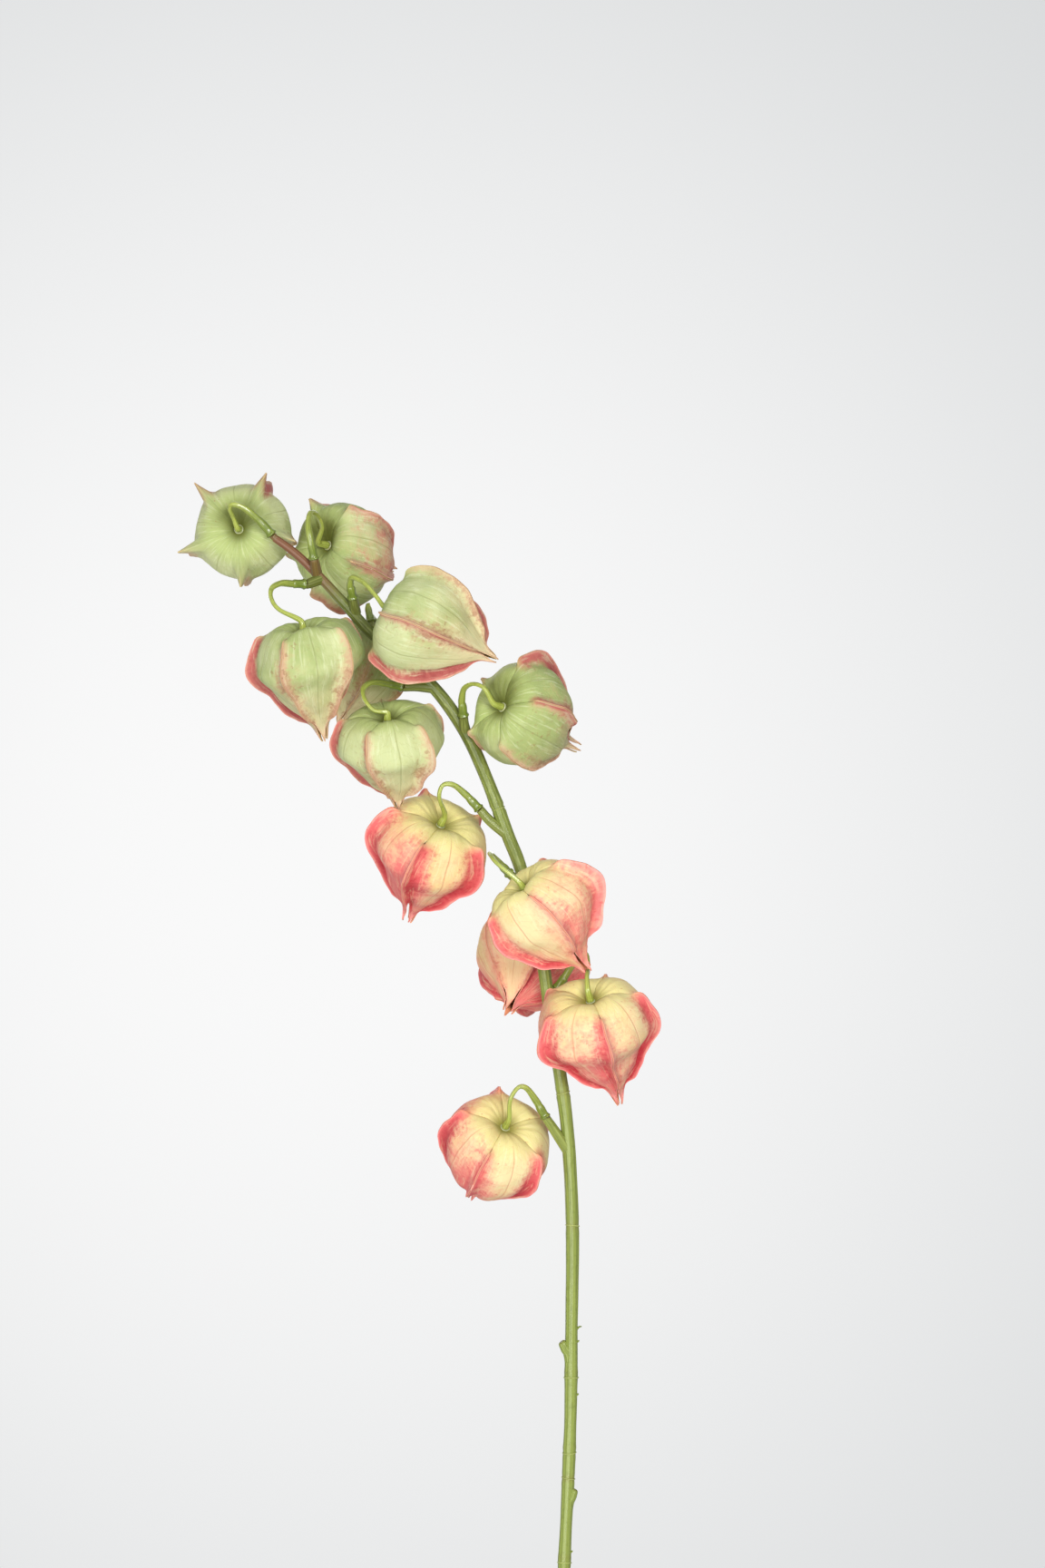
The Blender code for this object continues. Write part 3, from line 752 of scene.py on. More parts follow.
def add_uv(piece: bpy.types.Object, first: np.ndarray, second: np.ndarray) -> None:
    """Give a piece a UV map from two numbers at each point.

    Args:
        piece: The piece.
        first: Each point's place across the map.
        second: Each point's place up the map.
    """
    mesh = piece.data
    layer = mesh.uv_layers.new(name="surface")
    corners = np.empty(len(mesh.loops), np.int32)
    mesh.loops.foreach_get("vertex_index", corners)
    pairs = np.stack([first[corners], second[corners]], axis=1)
    layer.data.foreach_set("uv", pairs.astype(np.float32).ravel())


def settle(piece: bpy.types.Object, slot: str, *nodes: str) -> bpy.types.Object:
    """Ride a piece on the body, and hide the nodes that it stands for.

    Args:
        piece: The piece.
        slot: Not used.
        nodes: The nodes that it replaces.

    Returns:
        The same piece.
    """
    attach(piece, BODY)
    if nodes:
        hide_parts(*nodes)
    return piece


# Geometry trees.


class GeometryTree:
    """A geometry tree with named inputs, run on a mesh to give a plain mesh."""

    name = "tree"
    inputs: tuple = ()

    def __init__(self) -> None:
        """Build the tree once, with a material as its last input."""
        self.tree = bpy.data.node_groups.new(self.name, "GeometryNodeTree")
        face = self.tree.interface
        face.new_socket(name="Mesh", in_out="INPUT", socket_type="NodeSocketGeometry")
        self.keys = {}
        for label, kind, value in (*self.inputs, ("Material", "NodeSocketMaterial", None)):
            socket = face.new_socket(name=label, in_out="INPUT", socket_type=kind)
            if value is not None:
                socket.default_value = value
            self.keys[label] = socket.identifier
        face.new_socket(name="Mesh", in_out="OUTPUT", socket_type="NodeSocketGeometry")
        book = NodeBook(self.tree)
        entry = book.add("NodeGroupInput")
        wires = {socket.name: Wire(book, socket) for socket in entry.outputs if socket.name}
        solid = book.node("GeometryNodeRealizeInstances", None,
                          {"Geometry": self.build(book, wires)})
        dressed = book.node("GeometryNodeSetMaterial", None,
                            {"Geometry": solid, "Material": wires["Material"]})
        book.add("NodeGroupOutput", None, {0: dressed})

    def build(self, book: NodeBook, wires: dict) -> Wire:
        """Add the tree's own nodes. Each tree gives its own.

        Args:
            book: The tree's node book.
            wires: The tree's inputs by label.

        Returns:
            The geometry, without its material.
        """
        raise NotImplementedError

    def run(self, name: str, guide: bpy.types.Mesh, **values: object) -> bpy.types.Object:
        """Run the tree on a guide mesh.

        Args:
            name: The name of the piece.
            guide: The mesh that the tree starts from.
            values: Input values by label, with underscores for spaces.

        Returns:
            A plain mesh object with no modifier.
        """
        holder = bpy.data.objects.new(name + "_guide", guide)
        bpy.context.scene.collection.objects.link(holder)
        modifier = holder.modifiers.new(self.name, "NODES")
        modifier.node_group = self.tree
        for label, value in values.items():
            modifier[self.keys[label.replace("_", " ")]] = value
        bpy.context.view_layer.update()
        graph = bpy.context.evaluated_depsgraph_get()
        mesh = bpy.data.meshes.new_from_object(holder.evaluated_get(graph))
        mesh.name = name
        holder.modifiers.remove(modifier)
        bpy.data.objects.remove(holder, do_unlink=True)
        return show(name, mesh)


class RodTree(GeometryTree):
    """A grooved round rod along each line of the guide, as thick as the guide says."""

    name = "grooved_rod"
    inputs = (
        ("Sides", "NodeSocketInt", 32),
        ("Grooves", "NodeSocketFloat", 8.0),
        ("Groove Depth", "NodeSocketFloat", 0.0001),
    )

    def build(self, book: NodeBook, wires: dict) -> Wire:
        """Sweep a circle along the guide and press the grooves in.

        Args:
            book: The tree's node book.
            wires: The tree's inputs by label.

        Returns:
            The rods.
        """
        line = book.node("GeometryNodeMeshToCurve", None, {"Mesh": wires["Mesh"]})
        ring = book.node("GeometryNodeCurvePrimitiveCircle", None,
                         {"Resolution": wires["Sides"], "Radius": 1.0})
        share = book.node("GeometryNodeSplineParameter")
        kept = book.add("GeometryNodeCaptureAttribute", {"captures": ["round"]},
                        {"Geometry": ring, "round": share})
        ring, round_it = Wire(book, kept.outputs[0]), Wire(book, kept.outputs["round"])
        rod = book.node("GeometryNodeCurveToMesh", None,
                        {"Curve": line, "Profile Curve": ring, "Scale": book.named("thick"),
                         "Fill Caps": True})
        wave = book.math("COSINE", round_it * wires["Grooves"] * math.tau)
        push = book.node("ShaderNodeVectorMath", {"operation": "SCALE"},
                         {0: book.node("GeometryNodeInputNormal"),
                          "Scale": (wave * 0.5 - 0.5) * wires["Groove Depth"]})
        rod = book.node("GeometryNodeSetPosition", None, {"Geometry": rod, "Offset": push})
        return book.node("GeometryNodeStoreNamedAttribute", {"data_type": "FLOAT"},
                         {"Geometry": rod, "Name": "round", "Value": round_it})

    def sweep(self, name: str, runs: list, **values: object) -> bpy.types.Object:
        """Rods along open lines.

        Args:
            name: The name of the piece.
            runs: For each line its points, and a dict of numbers at each point.
            values: Input values of the tree.

        Returns:
            A plain mesh object.
        """
        edges, start = [], 0
        for run, _ in runs:
            edges += [(start + k, start + k + 1) for k in range(len(run) - 1)]
            start += len(run)
        kept = {label: np.concatenate([numbers[label] for _, numbers in runs])
                for label in runs[0][1]}
        guide = raw_mesh(name, np.vstack([run for run, _ in runs]), kept, edges=edges)
        return self.run(name, guide, **values)


class RingTree(GeometryTree):
    """A small rounded ring round each point of the guide, square to its lean."""

    name = "moulded_rings"
    inputs = (("Bead", "NodeSocketFloat", 0.12),)
    hoop_sides, bead_sides = 36, 8

    def build(self, book: NodeBook, wires: dict) -> Wire:
        """Place a ring at each point.

        Args:
            book: The tree's node book.
            wires: The tree's inputs by label.

        Returns:
            The rings.
        """
        hoop, bead = (book.node("GeometryNodeCurvePrimitiveCircle", None,
                                {"Resolution": sides, "Radius": radius})
                      for sides, radius in ((self.hoop_sides, 1.0),
                                            (self.bead_sides, wires["Bead"])))
        ring = book.node("GeometryNodeCurveToMesh", None,
                         {"Curve": hoop, "Profile Curve": bead})
        turn = book.node("FunctionNodeAlignRotationToVector", {"axis": "Z"},
                         {"Vector": book.named("lean", "FLOAT_VECTOR")})
        return book.node("GeometryNodeInstanceOnPoints", None,
                         {"Points": wires["Mesh"], "Instance": ring, "Rotation": turn,
                          "Scale": book.named("wide")})

    def wrap(self, name: str, centres: np.ndarray, leans: np.ndarray,
             widths: np.ndarray, **values: object) -> bpy.types.Object:
        """Rings round given points.

        Args:
            name: The name of the piece.
            centres: Points in millimetres.
            leans: The way that each ring faces.
            widths: Each ring's radius in millimetres.
            values: Input values of the tree.

        Returns:
            A plain mesh object.
        """
        return self.run(name, raw_mesh(name, centres, {"lean": leans, "wide": widths * MM}),
                        **values)


# The vase.


@dataclass
class BottleVase:
    """The turned vase: a wall that goes up outside, over the lip and down inside."""

    sides: int = 128
    foot: tuple = ((0.4, 1.6), (27.0, 1.6), (29.0, 0.0), (33.6, 0.0), (35.2, 0.8))
    outside: tuple = (
        (36.5, 2.0), (42.0, 16.0), (49.0, 40.0), (52.0, 68.0), (49.5, 96.0),
        (40.0, 121.0), (25.0, 145.0), (17.0, 162.0), (15.0, 185.0), (15.3, 212.0),
        (17.8, 229.5), (17.0, 231.7),
    )
    lip: tuple = ((16.2, 231.75),)
    inside: tuple = (
        (15.4, 231.2), (11.6, 215.0), (10.7, 195.0), (11.6, 167.0), (18.5, 148.5),
        (34.5, 124.0), (45.0, 97.0), (47.6, 68.0), (44.6, 42.0), (38.0, 19.0),
        (30.0, 9.2), (24.0, 7.5),
    )
    floor: tuple = ((12.0, 7.5), (0.4, 7.5))
    steps: int = 7
    rib: float = 0.09
    rib_pitch: float = 4.2

    def build(self) -> bpy.types.Object:
        """The vase as one closed piece.

        Returns:
            The vase.
        """
        outer, inner = (smooth_run(rows, self.steps) for rows in (self.outside, self.inside))
        height = outer[:, 1]
        outer[:, 0] += (self.rib * np.sin(height / self.rib_pitch * math.tau)
                        * window(height, 6, 30, 205, 222))
        line = np.vstack([self.foot, outer, self.lip, inner, self.floor])
        points, faces = lathe(line, self.sides)
        edge = np.repeat(smooth_step(line[:, 1], 228.5, 231.0), self.sides)
        vase = mesh_piece("vase_body", points, faces, {"edge": np.append(edge, [0, 0])},
                          GLAZE.make())
        number = np.arange(len(points))
        add_uv(vase, number % self.sides / self.sides, number / len(points))
        return settle(vase, "stoneware", "vase")


# The stem and its branches.


# The stem's middle line from its foot up, as rows of x, z and radius.
STEM_LINE = (
    (9.0, 8.0, 2.6), (6.6, 42.0, 2.6), (3.2, 78.0, 2.6), (-0.8, 112.0, 2.6),
    (-4.8, 146.0, 2.6), (-7.2, 172.0, 2.6), (-7.8, 195.0, 2.6), (-7.8, 212.0, 2.6),
    (-7.2, 244.0, 2.6), (-5.6, 279.0, 2.6), (-4.4, 311.0, 2.65), (-4.0, 347.0, 2.7),
    (-3.6, 395.0, 2.8), (-5.6, 435.0, 2.8), (-9.2, 463.0, 2.8), (-13.6, 491.0, 2.8),
    (-18.0, 519.0, 2.8), (-26.0, 551.0, 2.8), (-32.0, 567.0, 2.8), (-41.0, 591.0, 2.8),
    (-50.0, 611.0, 2.8), (-62.0, 629.0, 2.75), (-78.0, 645.0, 2.6), (-92.0, 656.0, 2.4),
    (-104.0, 669.0, 2.2), (-116.4, 682.4, 2.0), (-126.0, 691.5, 1.75),
    (-134.8, 698.0, 1.6),
)
# Each joint's height, and how proud it stands.
STEM_JOINTS = (
    (247.5, 0.35), (283.0, 0.25), (295.5, 0.4), (329.0, 0.45), (394.5, 0.45),
    (453.0, 0.4), (579.0, 0.4),
)
# Each cut side shoot's height, side, radius and reach.
STEM_SCARS = ((343.2, -1.0, 2.0, 2.6), (277.8, 1.0, 1.8, 1.2))
# The height, side and length of each scrap of moulding flash.
STEM_FLASH = ((350.6, 1.0, 1.7), (343.0, 1.0, 0.7), (321.5, 1.0, 0.6), (252.5, 1.0, 0.7))


@dataclass(frozen=True)
class Hook:
    """One stalk's place: its branch on the stem, and its points to the lantern."""

    number: int
    branch: tuple
    points: tuple

    def leave(self) -> tuple:
        """The branch's end, and the way the stalk leaves it."""
        end = np.array(self.branch[-1], float)
        return end, unit(self.points[0] - end)


HOOKS = (
    Hook(1, ((-134.0, 0, 697.4), (-135.8, -0.3, 699.2)),
         ((-138.7, -1, 702.6), (-143.0, -2.5, 707.0), (-148.0, -4, 711.0),
          (-152.8, -4.5, 712.6), (-154.6, -2, 710.8), (-153.3, 3, 707.0))),
    Hook(2, ((-116.4, 0, 682.4), (-117.2, -5.4, 688.2)),
         ((-118.6, -8, 696.0), (-119.7, -7.4, 703.0), (-119.0, -2, 709.0),
          (-116.4, 6, 708.6), (-114.6, 14, 703.6))),
    Hook(3, ((-91.5, 0, 657.0), (-92.2, 4.6, 660.4)),
         ((-93.2, 7.5, 664.0), (-94.0, 11, 667.8), (-94.0, 16, 668.8),
          (-93.4, 21.5, 665.8))),
    Hook(4, ((-99.2, 0, 664.8), (-100.2, -5, 671.0)),
         ((-101.2, -9, 677.0), (-99.9, -13.5, 680.0), (-94.5, -19, 677.2),
          (-89.4, -22.5, 671.4))),
    Hook(5, ((-114.6, 0, 680.0), (-121.0, -3, 677.6)),
         ((-127.0, -6, 677.6), (-131.5, -9, 677.6), (-135.4, -13, 675.2),
          (-135.4, -17, 670.6), (-131.6, -20.6, 665.6))),
    Hook(6, ((-65.0, 0, 632.0), (-72.0, -0.8, 632.6), (-78.3, -2, 632.4)),
         ((-84.6, -4, 633.5), (-91.2, -7, 634.2), (-95.4, -11, 631.4),
          (-94.6, -14.5, 626.4), (-90.4, -16, 621.8))),
    Hook(7, ((-50.6, 0, 612.0), (-51.4, -3, 616.0), (-51.5, -5, 619.2)),
         ((-52.2, -9, 626.4), (-51.0, -15, 631.4), (-47.2, -21.4, 633.2),
          (-42.2, -25.0, 631.2))),
    Hook(8, ((-32.0, 0, 567.0), (-40.0, -1, 573.4), (-44.4, -1.6, 578.4)),
         ((-50.4, -2.6, 584.8), (-55.9, -4.2, 589.2), (-60.6, -5.2, 589.0),
          (-62.2, -4.6, 583.6))),
    Hook(9, ((-14.0, 0, 494.0), (-10.4, -1.4, 499.4)),
         ((-7.0, -3, 504.6), (-3.4, -5, 510.4), (0.4, -9, 515.0),
          (2.6, -15, 514.6), (3.0, -22, 510.0), (2.4, -29, 506.4))),
    Hook(10, ((-22.6, 0, 541.6), (-27.4, -4, 546.7), (-31.2, -7, 550.1)),
         ((-35.6, -12, 554.8), (-39.1, -20, 558.6), (-39.6, -30.6, 559.0),
          (-36.6, -38.6, 555.4))),
    Hook(11, ((-21.0, 0, 530.0), (-20.8, 6, 533.4)),
         ((-20.4, 12, 536.4), (-19.5, 22, 541.2), (-18.3, 34, 544.0),
          (-16.8, 45, 542.2), (-15.2, 50.5, 535.4))),
    Hook(12, ((-5.0, 0, 427.0), (-11.2, -2, 436.6), (-15.2, -3.4, 442.7)),
         ((-19.6, -5, 450.4), (-23.8, -6.6, 456.0), (-27.6, -7.6, 456.2),
          (-31.0, -7.6, 450.6))),
)


@dataclass
class PlasticStem:
    """The long stem with its joints, cut scars and the branches that carry stalks."""

    rods: RodTree
    rings: RingTree
    finish: bpy.types.Material
    steps: int = 14
    extra: float = 0.12
    joint_length: float = 3.4
    joint_share: float = 0.6
    notch: float = 0.62
    swell: float = 0.10
    branch_radius: float = 1.95
    branch_flare: float = 0.55
    scar_root: float = 13.0
    blush: tuple = (668.0, 686.0)
    tones: tuple = (240.0, 670.0)
    groove_depth: float = 0.16
    lip_bead: float = 0.09
    points: np.ndarray = field(init=False)
    radii: np.ndarray = field(init=False)
    runs: list = field(default_factory=list)

    def __post_init__(self) -> None:
        """Find the stem's middle line, and how thick the stem is along it."""
        rows = smooth_run([(x, 0.0, z, radius) for x, z, radius in STEM_LINE], self.steps)
        self.points, self.radii = rows[:, :3], rows[:, 3] + self.extra
        height = self.points[:, 2]
        for joint, proud in STEM_JOINTS:
            off = (height - joint) / self.joint_length
            self.radii += proud * self.joint_share * bell(off, 0.7)
            self.radii -= self.notch * bell(off, 0.2)
            self.radii += self.swell * bell(off, 2.6)
        self.radii += 0.07 * np.sin(height * 0.21) * np.sin(height * 0.077)

    def nearest(self, height: float) -> int:
        """The number of the point of the line that is nearest to a height."""
        return int(np.argmin(np.abs(self.points[:, 2] - height)))

    def add_run(self, points: np.ndarray, radii: np.ndarray, mark: np.ndarray) -> None:
        """Keep one line of the guide, toned by how far up the stem it is.

        Args:
            points: The line's points.
            radii: How thick the rod is at each.
            mark: How stained it is at each.
        """
        low, high = self.tones
        along = np.clip((points[:, 2] - low) / (high - low), 0, 1) ** 3
        self.runs.append((points, {"thick": radii * MM, "along": along, "mark": mark}))

    def build(self) -> list:
        """The stem with its rings.

        Returns:
            The two pieces.
        """
        height = self.points[:, 2]
        line = self.points.copy()
        line[:, 1] += 0.10 * np.sin(height * 0.045) + 0.06 * np.sin(height * 0.11)
        mark = smooth_step(height, *self.blush) * 0.85
        for joint, _ in STEM_JOINTS:
            mark += 0.25 * bell(height - joint - 0.9, 0.5)
        self.add_run(line, self.radii, mark)
        for hook in HOOKS:
            self.add_branch(hook)
        for scar in STEM_SCARS:
            self.add_scar(*scar)
        for flash in STEM_FLASH:
            self.add_flash(*flash)
        rod = self.rods.sweep("stem_rod", self.runs, Sides=44, Grooves=11.0,
                              Groove_Depth=self.groove_depth * MM, Material=self.finish)
        return [settle(rod, "stem_green", "stem"), self.build_rings()]

    def add_branch(self, hook: Hook) -> None:
        """A branch that swells out of the stem and ends where its stalk begins.

        Args:
            hook: The stalk that the branch carries.
        """
        end, away = hook.leave()
        points = smooth_run([*hook.branch[:-1], end - away * 0.8, end], 8)
        share = np.linspace(0, 1, len(points))
        start, finish = self.branch_radius + self.branch_flare, self.branch_radius
        if hook.number == 1:
            start = finish = STEM_LINE[-1][2]
        radii = start + (finish - start) * smooth_step(share, 0.0, 0.75)
        radii[-2:] += 0.08
        mark = 0.05 + 0.25 * smooth_step(share, 0.8, 1.0)
        self.add_run(points, radii, mark + (0.5 if hook.number in (1, 2) else 0.0))

    def add_scar(self, height: float, side: float, radius: float, proud: float) -> None:
        """A side shoot's stump: it swells out of the stem from below, then was cut.

        Args:
            height: Where its end is.
            side: 1 for the right and -1 for the left.
            radius: How thick it is.
            proud: How far it reaches out of the stem.
        """
        high = self.nearest(height)
        low, top = self.points[self.nearest(height - self.scar_root)], self.points[high]
        out = np.array([side, -0.25, 0.0]) * (self.radii[high] + proud - radius * 0.5)
        rise = np.array([0.0, 0.0, 1.0])
        line = smooth_run([
            low, low * 0.45 + top * 0.55 + out * 0.22, top + out * 0.56 - rise * 3.6,
            top + out * 0.82 - rise * 1.4, top + out * 1.04 - rise * 0.1], 6)
        at = np.linspace(0, 4, len(line))
        wide = radius * np.interp(at, (0.0, 1.0, 3.2, 3.8, 4.0), (1.2, 1.25, 1.0, 0.8, 0.45))
        self.add_run(line, wide, 0.2 * smooth_step(at, 3.6, 4.0))

    def add_flash(self, height: float, side: float, length: float) -> None:
        """A thin scrap of moulding flash that stands out from the stem.

        Args:
            height: Where it is.
            side: 1 for the right and -1 for the left.
            length: How far it stands out.
        """
        place = self.nearest(height)
        reach = self.radii[place] + np.array([-0.6, 0.1, 0.5 * length, length])
        line = self.points[place] + np.outer(reach, [side, -0.2, 0.0])
        line[:, 2] += np.array([-0.5, 0.0, 0.25, 0.3]) * length
        self.add_run(line, np.array([0.6, 0.5, 0.38, 0.25]), np.zeros(4))

    def build_rings(self) -> bpy.types.Object:
        """A fine pale lip in the notch of each joint, each a little aslant.

        Returns:
            The lips as one piece.
        """
        places = np.array([self.nearest(height) for height, _ in STEM_JOINTS])
        number = np.arange(len(places))
        aslant = np.stack([np.sin(number * 2.1), np.cos(number * 1.7), number * 0.0], 1)
        leans = unit(self.points[places + 1] - self.points[places - 1])
        rings = self.rings.wrap(
            "stem_rings", self.points[places], unit(leans + aslant * 0.12),
            self.radii[places] + 0.12, Bead=self.lip_bead, Material=LIP_PLASTIC.make())
        return settle(rings, "stem_green")


# The stalks.


@dataclass
class HookedStalk:
    """A moulded stalk: collar, fat sleeve, thin hook and a cone in the dimple."""

    hook: Hook
    hole: tuple
    axis: tuple
    rods: RodTree
    finish: bpy.types.Material
    collar: float = 2.5
    sleeve: float = 2.2
    sleeve_share: float = 0.62
    thin: float = 1.0
    cone: float = 1.9
    cone_seat: float = 0.6
    cone_start: float = 0.80
    straight: float = 5.2
    groove_depth: float = 0.13
    steps: int = 10

    def route(self) -> np.ndarray:
        """The stalk's middle line from the branch to just above the hole.

        Returns:
            The line's points.
        """
        start, away = self.hook.leave()
        foot = start + away * 0.1
        points = [np.array(point, float) for point in self.hook.points]
        straight = foot + away * self.straight
        if (points[0] - straight) @ away < 1.0:
            points = points[1:]
        reach = min(6.5, 0.55 * float(np.linalg.norm(points[-1] - self.hole)))
        inward = unit(self.axis)
        return smooth_run(
            [foot, foot + away * 1.5, straight, *points,
             self.hole - inward * reach, self.hole - inward * (self.cone_seat + 1.2)],
            self.steps)

    def build(self) -> bpy.types.Object:
        """The stalk as one piece.

        Returns:
            The stalk.
        """
        line = self.route()
        share = np.linspace(0, 1, len(line))
        sleeve = self.sleeve * (1 - 0.05 * np.cos(share * 40))
        fat = np.clip(share / self.sleeve_share, 0, 1) ** 1.5
        fat = self.thin + (sleeve - self.thin) * (1 - fat)
        cone = np.clip((share - self.cone_start) / (1 - self.cone_start), 0, 1)
        cone = self.thin + (self.cone - self.thin) * cone * 0.75
        radii = np.where(share < self.sleeve_share, fat, cone)
        length = np.arange(len(line)) / self.steps
        radii += (self.collar - self.sleeve) * bell(length - 0.45, 0.42, power=4)
        radii[0] -= 0.35
        seat = -self.cone_seat
        tail = np.array([
            (seat - 0.25, self.cone * 0.98), (seat, self.cone * 0.9), (seat + 0.02, 1.1),
            (1.25, 1.1), (1.5, 2.2), (2.6, 2.0), (3.2, 1.1)])
        line = np.vstack([line, self.hole + np.outer(tail[:, 0], unit(self.axis))])
        values = {
            "thick": np.append(radii, tail[:, 1]) * MM,
            "along": np.clip(np.append(share / 0.75, np.ones(len(tail))), 0, 1),
            "mark": 0.55 * bell(np.arange(len(line)) - 2, 3.0),
        }
        name = f"{self.hook.number:02d}"
        made = self.rods.sweep(
            f"stalk_hook_{name}", [(line, values)], Sides=24, Grooves=5.0,
            Groove_Depth=self.groove_depth * MM, Material=self.finish)
        return settle(made, "stalk_green", f"stalk_{name}")


# The lanterns.


class Cloth(Enum):
    """Which cloth a lantern is cut from."""

    GREEN = "green_lantern"
    CORAL = "coral_lantern"


@dataclass(frozen=True)
class Calyx:
    """Place and make-up of one lantern, as in the part's source, and its colouring.

    Seam 0 is the keel that is given. Splits say from which ring a seam is open, and wings
    by how much a keel is taller. Reds say how red each seam's keel is, as one number or as
    a pair for the panels before and after it, and rosy how rosy each panel is.
    """

    number: int
    hole: tuple
    axis: tuple
    keel: tuple
    radius: float
    cloth: Cloth
    length: float = 1.0
    horn: float = 1.0
    splits: dict = field(default_factory=dict)
    warp: float = 0.035
    puff: float = 1.0
    taper: float = 1.0
    reds: tuple = (0.5, 0.5, 0.5, 0.5, 0.5)
    rosy: tuple = (0.0, 0.0, 0.0, 0.0, 0.0)
    # How dark the painted shade on the upper wall of the dimple is.
    shade: float = 0.0
    gold: float = 0.5
    pinch: float = 1.6
    horn_share: float = 1.0
    tip_share: float = 0.35
    tail: float = 0.0
    wings: dict = field(default_factory=dict)
    hollow: float = 0.02

    def redness(self, seam: int, after: bool) -> float:
        """How red a seam's keel is, on the panel before it or the one after it."""
        red = self.reds[seam % len(self.reds)]
        return red[after] if isinstance(red, tuple) else red


CALYXES = (
    Calyx(1, (-151.4, 11, 702.5), (0.08, 0.99, -0.07), (0.51, 0.0, 0.86), 22.0,
          Cloth.GREEN, horn=6.8, warp=0.03, puff=-0.5, reds=(0.9, 0.35, 0.35, 0.35, 0.9),
          shade=0.75, gold=0.3, pinch=1.15, horn_share=1.35, hollow=0.05),
    Calyx(2, (-112.4, 25, 696.0), (0.66, 0.72, -0.22), (-0.03, -0.99, -0.13), 22.8,
          Cloth.GREEN, horn=4.0, warp=0.05, puff=0.5,
          reds=(0.6, 0.6, 0.4, 0.5, 0.6), rosy=(0.1, 0, 0, 0, 0.5), shade=0.9,
          gold=0.7, pinch=1.3, horn_share=1.1),
    Calyx(3, (-93.0, 28, 655.0), (-0.38, 0.09, -0.92), (0.16, -0.98, -0.07), 21.0,
          Cloth.GREEN, reds=(0.25, 0.6, 0.6, 0.6, 0.3), rosy=(0.12, 0.1, 0.1, 0.1, 0.1),
          gold=0.6),
    Calyx(4, (-80.0, -25, 664.0), (0.89, -0.21, -0.42), (-0.06, -0.99, -0.12), 24.0,
          Cloth.GREEN, puff=0.4, reds=((0.45, 0.65), (0.9, 0.8), 0.6, 0.9, (0.7, 0.1)),
          gold=0.35, tail=0.06, wings={1: 0.6, 3: 4.5, 4: 1.0}),
    Calyx(5, (-121.0, -22, 654.5), (0.18, 0.22, -0.96), (-0.42, -0.91, -0.08), 23.9,
          Cloth.GREEN, taper=0.84, reds=((0.35, 0.65), 0.9, 0.5, 0.5, (0.4, 0.3)),
          gold=0.3, tail=0.08, wings={1: 2.0, 4: 2.4}),
    Calyx(6, (-84.5, -14, 617.0), (0.10, 0.37, -0.92), (-0.44, -0.90, -0.05), 23.4,
          Cloth.GREEN, length=0.89, taper=0.86, reds=((0.35, 0.65), 0.85, 0.5, 0.5, 0.35),
          gold=0.2, wings={1: 1.2, 4: 2.4}),
    Calyx(7, (-34.3, -19, 623.0), (0.66, 0.68, -0.32), (0.13, -0.96, 0.25), 23.4,
          Cloth.GREEN, horn=2.0, splits={0: 5}, warp=0.05,
          reds=((0.85, 0.7), 0.35, 0.5, 0.5, (0.6, 0.9)), rosy=(0, 0, 0, 0, 0.25),
          shade=0.7, gold=0.75, tip_share=1.0, tail=0.2, wings={0: 1.0, 4: 4.0}),
    Calyx(8, (-62.0, 8, 571.0), (-0.32, 0.52, -0.79), (-0.12, -0.98, -0.02), 25.4,
          Cloth.CORAL, horn=2.0, splits={0: 6}, warp=0.04, taper=0.84,
          reds=((1.0, 0.6), 0.9, 0.8, 0.7, (0.5, 1.0)), rosy=(0.7, 0.5, 0.4, 0.2, 0.35),
          tip_share=0.8, tail=0.10, wings={0: 1.4, 1: 2.4, 4: 1.6}),
    Calyx(9, (4.0, -30, 495.0), (0.22, 0.41, -0.89), (0.16, -0.99, 0.04), 25.0,
          Cloth.CORAL, warp=0.045, taper=0.8, reds=((0.5, 0.85), 1.0, 0.9, 0.8, 1.0),
          rosy=(0.58, 0.8, 0.4, 0.3, 0.4), gold=0.4, tip_share=0.2, tail=0.12,
          wings={0: 0.6, 1: 1.6, 4: 1.6}),
    Calyx(10, (-24.0, -38, 543.5), (0.63, 0.22, -0.74), (-0.04, -1.0, -0.03), 23.6,
          Cloth.CORAL, splits={0: 6, 4: 6}, warp=0.07, taper=0.92,
          reds=((0.6, 0.4), 0.85, 0.8, 0.7, (0.7, 0.45)), rosy=(0.15, 0.4, 0.4, 0.5, 0.5),
          gold=0.5, tip_share=0.8, tail=0.05, wings={1: 1.5, 4: 4.2}),
    Calyx(11, (-17.5, 39.2, 520.0), (-0.32, -0.71, -0.63), (0.93, -0.10, -0.36), 24.9,
          Cloth.CORAL, warp=0.05, reds=(0.8, (0.85, 0.1), (0.15, 0.5), 0.9, 0.8),
          rosy=(0.65, 0.0, 0.2, 0.5, 0.6), tip_share=0.8, tail=0.05),
    Calyx(12, (-33.4, 0, 438.0), (-0.30, 0.66, -0.69), (-0.09, -1.0, 0.04), 23.7,
          Cloth.CORAL, horn=1.5, warp=0.03, reds=((0.8, 0.65), 1.0, 0.8, 0.8, 1.0),
          rosy=(0.62, 0.85, 0.4, 0.25, 0.3), gold=0.5, tip_share=1.0,
          tail=0.08, wings={1: 1.0, 4: 0.8}),
)


